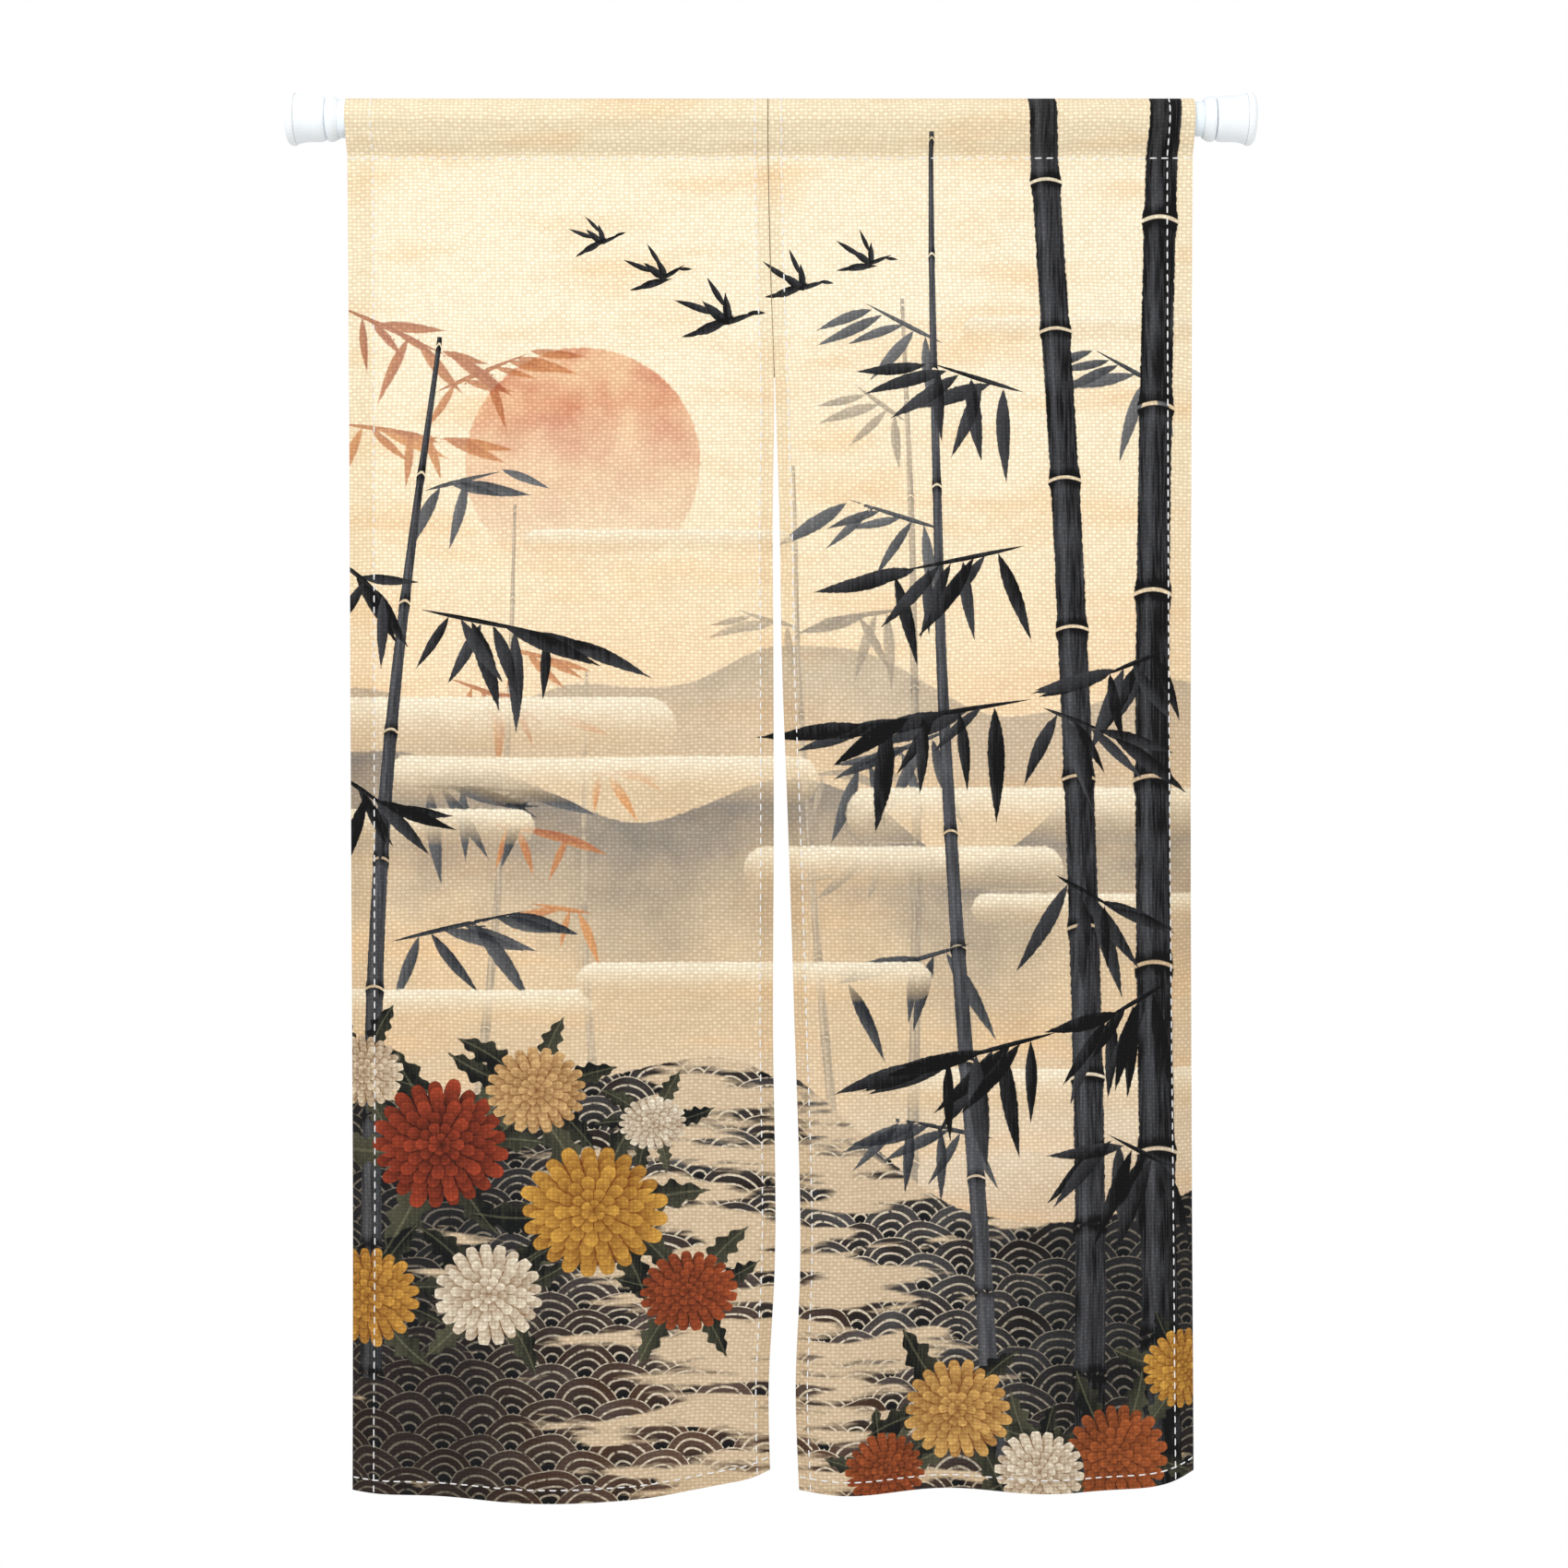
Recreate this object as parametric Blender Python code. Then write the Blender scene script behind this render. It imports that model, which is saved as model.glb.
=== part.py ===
"""Noren curtain: two cloth panels, seamed edge to edge at the top, on a telescoping tension rod.

Sizes are in millimetres and become metres where a point is made. X runs along the rod from the face
of its left foot, Y points away from the printed side, and Z points up from the rod's axis. A drop is
a distance down the cloth, counted from its top fold.
"""
import math
from collections import namedtuple

import bmesh
import bpy
import numpy as np

MM = 0.001

# Cloth
CLOTH_THICK = 1.2
LAYER_THICK = 0.8          # what a turned-in second layer adds behind the first
STEP_WIDTH = 1.6           # the width over which that second layer ends
SIDE_HEM = 27.0
SLIT_HEM = 13.0
BOTTOM_HEM = 14.0
POCKET_DROP = 58.0         # top fold to the stitch line under the rod
POCKET_TURN = 9.0          # cloth turned in below that line
PANEL_DROP = 1420.0
SEAM_DROP = 284.0          # the two panels are sewn together as far down as this

# Rod
OUTER_TUBE_RADIUS = 19.0
INNER_TUBE_RADIUS = 17.3
TUBE_WALL = 1.3
ROD_LENGTH = 984.0
TUBE_INSET = 12.3          # foot face to the end of a tube, inside its cap
OUTER_TUBE_END = 640.0
TUBE_OVERLAP = 90.0
SEAT_GAP = 0.3             # the air between two pieces that touch
POCKET_EASE = 0.55         # the air between the tube and the pocket's corners

# Fineness of the meshes
COLUMN_STEP = 21.0
ROW_STEP = 38.0
POCKET_STEPS = 15
ROUND_STEPS = 40
SURVEY_STEPS = 240         # steps along a row of cloth when its length is summed

# Where the four upright edges of the cloth lie, from the rod's left end
Edge = namedtuple("Edge", "drop left slit_left slit_right right")
EDGES = [
    Edge(0, 60.2, 487.8, 488.2, 921.7),
    Edge(180, 60.8, 491.6, 492.0, 921.7),
    Edge(SEAM_DROP, 61.2, 495.2, 495.6, 921.7),
    Edge(426, 61.5, 493.8, 500.7, 921.6),
    Edge(557, 61.8, 494.4, 502.8, 921.6),
    Edge(745, 62.3, 494.8, 509.6, 921.9),
    Edge(933, 63.0, 494.0, 515.8, 922.8),
    Edge(1197, 63.4, 495.6, 521.8, 924.6),
    Edge(1318, 63.0, 489.6, 517.4, 925.6),
    Edge(1430, 62.6, 491.9, 521.4, 926.4),
]

# The drop of the bottom edge, at a share of the way across a panel
HemPoint = namedtuple("HemPoint", "across drop")
LEFT_HEM = [
    HemPoint(0.0, 1423.0),
    HemPoint(0.2, 1424.5),
    HemPoint(0.4, 1428.0),
    HemPoint(0.6, 1427.0),
    HemPoint(0.75, 1424.0),
    HemPoint(0.88, 1415.0),
    HemPoint(0.97, 1405.0),
    HemPoint(1.0, 1399.0),
]
RIGHT_HEM = [
    HemPoint(0.0, 1418.0),
    HemPoint(0.1, 1421.0),
    HemPoint(0.4, 1419.0),
    HemPoint(0.7, 1418.0),
    HemPoint(0.88, 1416.0),
    HemPoint(1.0, 1404.0),
]

# Soft waves: how far the cloth stands forward at the bottom edge, fading out upwards
Wave = namedtuple("Wave", "across half_width forward start")
LEFT_WAVES = [
    Wave(0.22, 45.0, -6.0, 500.0),
    Wave(0.50, 70.0, 15.0, 320.0),
    Wave(0.84, 40.0, -11.0, 420.0),
]
RIGHT_WAVES = [
    Wave(0.11, 34.0, 11.0, 420.0),
    Wave(0.36, 42.0, -14.0, 330.0),
    Wave(0.62, 42.0, 14.0, 360.0),
    Wave(0.82, 30.0, -6.0, 520.0),
]

# Upright hems that turn back: the sine of the turn at the bottom edge, and where it dies out
Curl = namedtuple("Curl", "turn reach softness start")
LEFT_SIDE_CURL = Curl(0.56, 34.0, 9.0, 80.0)
RIGHT_SIDE_CURL = Curl(0.68, 36.0, 9.0, 80.0)
SLIT_CURL = Curl(0.22, 24.0, 8.0, 700.0)
CURL_POWER = 0.65          # under 1, a hem turns sooner on its way down


def smooth_step(value):
    """0 below 0, 1 above 1, with a soft turn at both ends."""
    held = min(max(value, 0.0), 1.0)
    return held * held * (3 - 2 * held)


def smooth_curve(rows, column, key, place):
    """Read a table's column at a place between its rows, on a smooth curve through them."""
    keys = [getattr(row, key) for row in rows]
    values = [getattr(row, column) for row in rows]
    slopes = np.gradient(values, keys)
    row = int(np.clip(np.searchsorted(keys, place) - 1, 0, len(keys) - 2))
    span = keys[row + 1] - keys[row]
    share = (place - keys[row]) / span
    rest = 1 - share
    return (
        (1 + 2 * share) * rest**2 * values[row]
        + share * rest**2 * span * slopes[row]
        + share**2 * (3 - 2 * share) * values[row + 1]
        - share**2 * rest * span * slopes[row + 1]
    )


def fade_in(drop, start):
    """How much of a wave or curl shows at this drop: none at its start, all at the bottom edge."""
    return smooth_step((drop - start) / (2 * (PANEL_DROP - start))) * 2


def curl_depth(curl, from_edge, drop):
    """How far a turned-back hem lies behind the panel."""
    soft = curl.softness
    shown = max((drop - curl.start) / (PANEL_DROP - curl.start), 0.0) ** CURL_POWER
    return curl.turn * shown * soft * np.log1p(np.exp((curl.reach - from_edge) / soft))


class Panel:
    """One cloth panel: its edges, its waves and the width that it was cut to."""

    def __init__(self, name, low_edge, high_edge, hem, waves, low_hem, high_hem, low_curl, high_curl):
        self.name = name
        self.low_edge = low_edge
        self.high_edge = high_edge
        self.hem = hem
        self.waves = waves
        self.low_hem = low_hem
        self.high_hem = high_hem
        self.low_curl = low_curl
        self.high_curl = high_curl
        self.width = getattr(EDGES[0], high_edge) - getattr(EDGES[0], low_edge)

    def depth(self, along, drop):
        """Y of the cloth's middle, at a length along its row."""
        total = curl_depth(self.low_curl, along, drop)
        total = total + curl_depth(self.high_curl, self.width - along, drop)
        for wave in self.waves:
            offset = (along - wave.across * self.width) / wave.half_width
            total = total - wave.forward * fade_in(drop, wave.start) * np.exp(-0.5 * offset**2)
        return total

    def place(self, along, drop):
        """The point of the cloth's middle at a length along its row: the row keeps its length as it waves."""
        lengths = np.linspace(0, self.width, SURVEY_STEPS + 1)
        leans = np.gradient(self.depth(lengths, drop), lengths)
        travel = np.concatenate([[0], np.cumsum(np.sqrt(1 - leans[1:] ** 2))])
        share = np.interp(along, lengths, travel) / travel[-1]
        low = smooth_curve(EDGES, self.low_edge, "drop", drop)
        high = smooth_curve(EDGES, self.high_edge, "drop", drop)
        return np.array([low + share * (high - low), float(self.depth(along, drop)), top_fold() - drop])

    def normal(self, along, drop):
        """The cloth's direction towards the back."""
        nudge = 1.0
        low = max(along - nudge, 0.0)
        high = min(along + nudge, self.width)
        across = self.place(high, drop) - self.place(low, drop)
        up = self.place(along, drop - nudge) - self.place(along, drop + nudge)
        back = np.cross(up, across)
        return back / np.linalg.norm(back)

    def columns(self):
        """Lengths along a row where the mesh has a column, with a pair at each hem's inner edge."""
        low_inner = self.low_hem
        high_inner = self.width - self.high_hem
        half_step = STEP_WIDTH / 2
        count = round((high_inner - low_inner) / COLUMN_STEP)
        middle = np.linspace(low_inner + half_step, high_inner - half_step, count + 1)
        low = [0, low_inner / 2, low_inner - half_step]
        high = [high_inner + half_step, self.width - self.high_hem / 2, self.width]
        return [*low, *middle, *high]

    def rows(self, along):
        """Drops where the mesh has a row, from the bottom edge up to the pocket's stitch line."""
        bottom = smooth_curve(self.hem, "drop", "across", along / self.width)
        half_step = STEP_WIDTH / 2
        hem_inner = bottom - BOTTOM_HEM
        turn_end = POCKET_DROP + POCKET_TURN
        count = round((PANEL_DROP - POCKET_DROP) / ROW_STEP)
        middle = np.linspace(hem_inner - half_step, turn_end + half_step, count + 1)
        return [bottom, hem_inner + half_step, *middle, turn_end - half_step, POCKET_DROP]

    def is_double(self, along, drop, bottom):
        """Whether the cloth is turned in on itself here."""
        in_side_hem = along < self.low_hem or along > self.width - self.high_hem
        in_bottom_hem = drop > bottom - BOTTOM_HEM
        in_pocket_turn = drop < POCKET_DROP + POCKET_TURN
        return in_side_hem or in_bottom_hem or in_pocket_turn

    def sheet_points(self, along):
        """The front and back points of one column, from the bottom edge up to the stitch line."""
        rows = self.rows(along)
        front = []
        back = []
        for drop in rows:
            middle = self.place(along, drop)
            normal = self.normal(along, drop)
            behind = CLOTH_THICK / 2 + LAYER_THICK * self.is_double(along, drop, rows[0])
            front.append(middle - normal * CLOTH_THICK / 2)
            back.append(middle + normal * behind)
        return front, back

    def pocket_points(self, along):
        """The outer and inner points of one column, from the stitch line over the rod and down again."""
        x = self.place(along, POCKET_DROP)[0]
        inner_radius = OUTER_TUBE_RADIUS + POCKET_EASE
        apex = POCKET_DROP - top_fold() - CLOTH_THICK
        leave = math.acos(inner_radius / apex)
        turns = np.linspace(leave, 2 * math.pi - leave, POCKET_STEPS + 1)
        outer = [on_circle(x, inner_radius + CLOTH_THICK, turn) for turn in turns]
        inner = [on_circle(x, inner_radius, turn) for turn in turns]
        return outer, [np.array([x, 0.0, -apex]), *inner]


def top_fold():
    """Height of the cloth's top over the rod's axis."""
    return OUTER_TUBE_RADIUS + POCKET_EASE + CLOTH_THICK


def on_circle(x, radius, turn):
    """A point around the rod's axis, turned from straight down towards the printed side."""
    return np.array([x, -radius * math.sin(turn), -radius * math.cos(turn)])


def add_ring(mesh, points):
    """Vertices for one column's closed ring of points."""
    return [mesh.verts.new(point * MM) for point in points]


def join_rings(mesh, first, second):
    """A band of four-sided faces between two closed rings of the same count."""
    for index in range(len(first)):
        following = (index + 1) % len(first)
        mesh.faces.new((first[index], first[following], second[following], second[index]))


def close_column(mesh, outer, inner, row_count, pocket_count):
    """The cut face at one upright edge: the sheet below, and the pocket's wall around its hole."""
    count = len(outer)
    for row in range(row_count - 1):
        mesh.faces.new((outer[row], outer[row + 1], outer[count - 2 - row], outer[count - 1 - row]))
    front = outer[row_count - 1]
    back = outer[row_count + pocket_count]
    mesh.faces.new((front, inner[0], back))
    wall_outer = outer[row_count - 1:row_count + pocket_count + 1]
    wall_inner = [*inner, inner[0]]
    for step in range(pocket_count + 1):
        mesh.faces.new((wall_outer[step], wall_outer[step + 1], wall_inner[step + 1], wall_inner[step]))


def finish(mesh, name, material):
    """Turn a closed mesh's faces outwards and make its object."""
    bmesh.ops.recalc_face_normals(mesh, faces=mesh.faces)
    data = bpy.data.meshes.new(name)
    mesh.to_mesh(data)
    mesh.free()
    data.shade_smooth()
    data.set_sharp_from_angle(angle=math.radians(30))
    data.materials.append(material)
    piece = bpy.data.objects.new(name, data)
    bpy.context.scene.collection.objects.link(piece)
    return piece


def build_panel(panel, material):
    """A panel as one solid: hanging sheet, hems and rod pocket."""
    mesh = bmesh.new()
    outer_rings = []
    inner_rings = []
    for along in panel.columns():
        front, back = panel.sheet_points(along)
        outer, inner = panel.pocket_points(along)
        outer_rings.append(add_ring(mesh, [*front, *outer, *reversed(back)]))
        inner_rings.append(add_ring(mesh, inner))
        row_count = len(front)
        pocket_count = len(outer)
    for index in range(len(outer_rings) - 1):
        join_rings(mesh, outer_rings[index], outer_rings[index + 1])
        join_rings(mesh, inner_rings[index + 1], inner_rings[index])
    for index in (0, -1):
        close_column(mesh, outer_rings[index], inner_rings[index], row_count, pocket_count)
    return finish(mesh, panel.name, material)


def turned_piece(name, profile, material, mirrored=False):
    """A piece of the rod, spun about the rod's axis from (distance from the foot's face, radius) pairs."""
    mesh = bmesh.new()
    stations = [(ROD_LENGTH - x if mirrored else x, radius) for x, radius in profile]
    loop = [mesh.verts.new((x * MM, 0, radius * MM)) for x, radius in stations]
    edges = [mesh.edges.new((loop[i], loop[(i + 1) % len(loop)])) for i in range(len(loop))]
    bmesh.ops.spin(
        mesh, geom=[*loop, *edges], cent=(0, 0, 0), axis=(1, 0, 0), dvec=(0, 0, 0),
        angle=2 * math.pi, steps=ROUND_STEPS, use_merge=True,
    )
    bmesh.ops.remove_doubles(mesh, verts=mesh.verts, dist=0.01 * MM)
    return finish(mesh, name, material)


def tube(name, start, end, radius, material):
    """A straight round tube, open at both ends."""
    bore = radius - TUBE_WALL
    return turned_piece(name, [(start, radius), (end, radius), (end, bore), (start, bore)], material)


def foot_profile():
    """The rubber foot that presses on the door frame."""
    return [(0, 0), (0, 23.0), (1.2, 24.8), (3.0, 26.2), (5.0, 26.8), (7.2, 26.6), (8.5, 25.8), (8.5, 0)]


def cap_profile(tube_radius):
    """The moulded cup over a tube's end."""
    bore = tube_radius + SEAT_GAP
    front = 8.5 + SEAT_GAP
    floor = TUBE_INSET - SEAT_GAP
    return [
        (front, 0), (front, 25.2), (12.0, 24.4), (16.0, 23.4), (21.0, 23.0), (31.0, 23.0), (35.5, 22.5),
        (38.0, 21.4), (39.2, 20.2), (39.2, bore), (floor, bore), (floor, 0),
    ]


def collar_profile(tube_radius):
    """The rounded collar next to the cap."""
    bore = tube_radius + SEAT_GAP
    return [
        (40.2, bore), (40.2, 21.2), (41.2, 22.4), (43.4, 22.9), (46.0, 22.6), (48.4, 21.7),
        (50.4, 20.4), (51.8, 19.6), (51.8, bore),
    ]


def plain_material(name, colour, roughness):
    """A plain surface finish."""
    material = bpy.data.materials.new(name)
    material.use_nodes = True
    shader = material.node_tree.nodes["Principled BSDF"]
    shader.inputs["Base Color"].default_value = (*colour, 1)
    shader.inputs["Roughness"].default_value = roughness
    shader.inputs["Metallic"].default_value = 0.0
    return material


def clear_scene():
    """Remove every object of the scene."""
    for old in list(bpy.data.objects):
        bpy.data.objects.remove(old)


def build_curtain():
    """The two panels."""
    cloth = plain_material("printed cloth", (0.82, 0.72, 0.53), 0.85)
    left = Panel(
        "panel_left", "left", "slit_left", LEFT_HEM, LEFT_WAVES, SIDE_HEM, SLIT_HEM, LEFT_SIDE_CURL, SLIT_CURL
    )
    right = Panel(
        "panel_right", "slit_right", "right", RIGHT_HEM, RIGHT_WAVES, SLIT_HEM, SIDE_HEM, SLIT_CURL,
        RIGHT_SIDE_CURL,
    )
    build_panel(left, cloth)
    build_panel(right, cloth)


def build_rod():
    """The two tubes and, at each end, a collar, a cap and a rubber foot."""
    painted = plain_material("white coated tube", (0.84, 0.86, 0.88), 0.3)
    moulded = plain_material("white moulding", (0.86, 0.88, 0.9), 0.35)
    rubber = plain_material("white rubber", (0.84, 0.86, 0.88), 0.7)
    tube("rod_outer_tube", TUBE_INSET, OUTER_TUBE_END, OUTER_TUBE_RADIUS, painted)
    tube(
        "rod_inner_tube", OUTER_TUBE_END - TUBE_OVERLAP, ROD_LENGTH - TUBE_INSET, INNER_TUBE_RADIUS, painted
    )
    ends = (("left", OUTER_TUBE_RADIUS, False), ("right", INNER_TUBE_RADIUS, True))
    for side, radius, mirrored in ends:
        turned_piece(f"rod_collar_{side}", collar_profile(radius), moulded, mirrored)
        turned_piece(f"rod_cap_{side}", cap_profile(radius), moulded, mirrored)
        turned_piece(f"rod_foot_{side}", foot_profile(), rubber, mirrored)


clear_scene()
build_curtain()
build_rod()
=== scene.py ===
# Noren curtain on a tension rod: two printed cloth panels, their sewing, and the rod's fittings.
# The cloth carries an ink-wash picture of bamboo over water, made from strokes drawn in code.
# X runs along the rod, -Y is the printed side, +Z is up. Values are in millimetres unless noted.
import math
from functools import partialmethod

import bpy
import numpy as np
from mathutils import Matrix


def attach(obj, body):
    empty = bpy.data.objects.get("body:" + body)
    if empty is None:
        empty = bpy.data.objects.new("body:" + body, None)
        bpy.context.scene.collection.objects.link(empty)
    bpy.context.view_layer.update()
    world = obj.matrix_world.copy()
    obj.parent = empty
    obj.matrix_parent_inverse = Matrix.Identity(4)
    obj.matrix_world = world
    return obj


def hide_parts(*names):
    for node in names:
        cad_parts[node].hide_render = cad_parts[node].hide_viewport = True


mm = 0.001
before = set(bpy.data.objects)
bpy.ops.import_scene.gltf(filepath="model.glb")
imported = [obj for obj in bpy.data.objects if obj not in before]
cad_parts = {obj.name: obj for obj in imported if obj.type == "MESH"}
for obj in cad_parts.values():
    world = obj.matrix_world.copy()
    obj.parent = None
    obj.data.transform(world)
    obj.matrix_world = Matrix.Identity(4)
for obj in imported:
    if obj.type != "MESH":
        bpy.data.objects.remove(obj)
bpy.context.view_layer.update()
print("scene: frame loaded,", len(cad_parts), "nodes")


# Small helpers

def table(columns, *rows):
    # rows as dictionaries, by the names of their columns
    return [dict(zip(columns.split(), row)) for row in rows]


def linear(*screen):
    # a screen colour, 0 to 255, as the shader wants it
    shares = (value / 255 for value in screen)
    return (*(part / 12.92 if part <= 0.04045 else ((part + 0.055) / 1.055) ** 2.4 for part in shares), 1.0)


def smoothStep(value):
    held = np.clip(value, 0, 1)
    return held * held * (3 - 2 * held)


def unit(vectors):
    return vectors / np.linalg.norm(vectors, axis=-1, keepdims=True)


def curveThrough(keys, values, place):
    # smooth curve through table rows, read at any places
    keys = np.asarray(keys, float)
    values = np.asarray(values, float)
    slopes = np.gradient(values, keys)
    row = np.clip(np.searchsorted(keys, place) - 1, 0, len(keys) - 2)
    span = keys[row + 1] - keys[row]
    share = (place - keys[row]) / span
    rest = 1 - share
    return (
        (1 + 2 * share) * rest**2 * values[row]
        + share * rest**2 * span * slopes[row]
        + share**2 * (3 - 2 * share) * values[row + 1]
        - share**2 * rest * span * slopes[row + 1]
    )


def newObject(name, data, material=None):
    if material:
        data.materials.append(material)
    made = bpy.data.objects.new(name, data)
    bpy.context.scene.collection.objects.link(made)
    return made


def addVectors(mesh, name, values):
    attribute = mesh.attributes.new(name, "FLOAT_VECTOR", "POINT")
    attribute.data.foreach_set("vector", np.ascontiguousarray(values, np.float32).ravel())


# The camera stands at the photo's level, straight in front

view = {
    "centreX": 505.3, "centreZ": -677.7, "distance": 2600.0, "frameWidth": 1598.0,
    "sensor": 36.0, "seesTo": 50000.0,
}


def makeCamera():
    data = bpy.data.cameras.new("camera")
    data.sensor_width = view["sensor"]
    data.lens = view["sensor"] * view["distance"] / view["frameWidth"]
    data.clip_end = view["seesTo"] * mm
    camera = newObject("camera", data)
    camera.location = (view["centreX"] * mm, -view["distance"] * mm, view["centreZ"] * mm)
    camera.rotation_euler = (math.radians(90), 0, 0)
    bpy.context.scene.camera = camera


makeCamera()
print("scene: camera placed")


# The cloth panels, in the frame's own sizes

cloth = {
    "thick": 0.8,
    "layer": 0.7,             # a hem's second layer, behind
    "solidThick": 1.2,        # the frame's cloth, whose front face this one keeps
    "step": 3.5,              # spacing of the mesh
    "backEvery": 2,           # front rows to each back row
    "pocketSegments": 22,
    "pocketDrop": 58.0,
    "pocketTurn": 9.0,
    "panelDrop": 1420.0,
    "seamDrop": 284.0,
    "seamEase": 0.3,          # how far each panel draws back from the seam
    "seamFade": 60.0,         # how soon below the seam that ends
    "steepest": 0.98,         # lean of the cloth where it turns back most
    "tubeRadius": 19.0,
    "pocketEase": 0.45,
    "pocketBulge": 1.3,
    "frameFold": 20.75,       # height of the frame's top fold over the rod's axis
    "sideHem": 27.0,
    "slitHem": 13.0,
    "bottomHem": 14.0,
    "curlPower": 0.65,
    "sharpAngle": 50,         # degrees over which an edge of the cloth is shaded sharp
    "flatLeft": (0.428, 1.49),
    "flatRight": (0.434, 1.49),
}

# drop from the top fold, then where each upright edge lies
edgeRows = table(
    "drop left slitLeft slitRight right",
    (0, 60.2, 487.8, 488.2, 921.7),
    (180, 60.8, 491.6, 492.0, 921.7),
    (284, 61.2, 495.2, 495.6, 921.7),
    (426, 61.5, 493.8, 500.7, 921.6),
    (557, 61.8, 494.4, 502.8, 921.6),
    (745, 62.3, 494.8, 509.6, 921.9),
    (933, 63.0, 494.0, 515.8, 922.8),
    (1197, 63.4, 495.6, 521.8, 924.6),
    (1318, 63.0, 489.6, 517.4, 925.6),
    (1430, 62.6, 491.9, 521.4, 926.4),
)
edges = {name: [row[name] for row in edgeRows] for name in edgeRows[0]}

panels = {
    "left": {
        "low": "left", "high": "slitLeft", "node": "panel_left", "artStart": 0.0,
        # share of the way across, drop of the bottom edge there
        "hem": ((0, 1423), (0.2, 1424.5), (0.4, 1428), (0.6, 1427), (0.75, 1424), (0.88, 1415),
                (0.97, 1405), (1, 1399)),
        # share across, half width, how far forward at the bottom, drop where it starts
        "waves": ((0.22, 45, -6, 500), (0.5, 70, 15, 320), (0.84, 40, -11, 420)),
        # sine of the turn at the bottom, reach, softness, start
        "lowCurl": (0.56, 34, 9, 80), "highCurl": (0.22, 24, 8, 700),
        "lowHem": "sideHem", "highHem": "slitHem",
    },
    "right": {
        "low": "slitRight", "high": "right", "node": "panel_right", "artStart": 430.0,
        "hem": ((0, 1418), (0.1, 1421), (0.4, 1419), (0.7, 1418), (0.88, 1416), (1, 1404)),
        "waves": ((0.11, 34, 11, 420), (0.36, 42, -14, 330), (0.62, 42, 14, 360), (0.82, 30, -6, 520)),
        "lowCurl": (0.22, 24, 8, 700), "highCurl": (0.68, 36, 9, 80),
        "lowHem": "slitHem", "highHem": "sideHem",
    },
}


def panelWidth(panel):
    return edges[panel["high"]][0] - edges[panel["low"]][0]


def bottomDrop(panel, share):
    return curveThrough(*zip(*panel["hem"]), share)


def curlDepth(curl, fromEdge, drop):
    turn, reach, softness, start = curl
    shown = np.clip((drop - start) / (cloth["panelDrop"] - start), 0, None) ** cloth["curlPower"]
    return turn * shown * softness * np.log1p(np.exp((reach - fromEdge) / softness))


def clothDepth(panel, along, drop):
    # how far back the cloth's middle lies
    total = curlDepth(panel["lowCurl"], along, drop)
    total = total + curlDepth(panel["highCurl"], panelWidth(panel) - along, drop)
    for across, halfWidth, forward, start in panel["waves"]:
        fade = smoothStep((drop - start) / (2 * (cloth["panelDrop"] - start))) * 2
        offset = (along - across * panelWidth(panel)) / halfWidth
        total = total - forward * fade * np.exp(-0.5 * offset**2)
    return total


def sheetGrid(panel):
    # the hanging sheet's middle, columns by rows from the bottom edge up to the pocket's stitch line
    width = panelWidth(panel)
    columnCount = round(width / cloth["step"]) + 1
    every = cloth["backEvery"]
    rowCount = every * round((cloth["panelDrop"] - cloth["pocketDrop"]) / cloth["step"] / every) + 1
    along = np.linspace(0, width, columnCount)[:, None]
    bottom = bottomDrop(panel, along / width)
    drop = bottom + (cloth["pocketDrop"] - bottom) * np.linspace(0, 1, rowCount)
    along = np.repeat(along, rowCount, axis=1)
    depth = clothDepth(panel, along, drop)
    lean = np.clip(np.diff(depth, axis=0) / along[1, 0], -cloth["steepest"], cloth["steepest"])
    travel = np.concatenate([np.zeros((1, rowCount)), np.cumsum(np.sqrt(1 - lean**2), axis=0)])
    ease = cloth["seamEase"] * (1 - smoothStep((drop - cloth["seamDrop"]) / cloth["seamFade"]))
    low = curveThrough(edges["drop"], edges[panel["low"]], drop)
    high = curveThrough(edges["drop"], edges[panel["high"]], drop)
    if panel["low"] == "slitRight":
        low = low + ease
    else:
        high = high - ease
    across = low + travel / travel[-1] * (high - low)
    return along, drop, bottom, np.stack([across, depth, cloth["frameFold"] - drop], axis=-1)


def pocketProfile(offset, start, end, shares):
    # a tear-drop path round the rod in the YZ plane, from a start point to an end point
    radius = cloth["tubeRadius"] + cloth["pocketEase"]
    apex = cloth["pocketDrop"] - cloth["frameFold"] - cloth["solidThick"]
    leave = math.acos(radius / apex)
    straight = math.sqrt(apex**2 - radius**2)
    arc = radius * (2 * math.pi - 2 * leave)
    whole = 2 * straight + arc

    def onTube(turn):
        return -(radius + offset) * np.array([math.sin(turn), math.cos(turn)])

    points = []
    for share in shares:
        length = share * whole
        if straight <= length <= straight + arc:
            points.append(onTube(leave + (length - straight) / radius))
            continue
        if length < straight:
            part, first, last, side = length / straight, start, onTube(leave), -1
        else:
            part, first, last, side = (length - straight - arc) / straight, onTube(-leave), end, 1
        bulge = cloth["pocketBulge"] * math.sin(math.pi * part) ** 2
        points.append(first + (last - first) * part + (side * bulge, 0))
    return np.array(points), whole


def doubled(panel, along, drop, bottom):
    # 1 where the cloth is turned in on itself, with a soft step at the turned edge
    inside = np.maximum.reduce([
        cloth[panel["lowHem"]] - along,
        cloth[panel["highHem"]] - (panelWidth(panel) - along),
        cloth["bottomHem"] - (bottom - drop),
        cloth["pocketDrop"] + cloth["pocketTurn"] - drop,
    ])
    return smoothStep(inside / 2 + 0.5)


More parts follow.
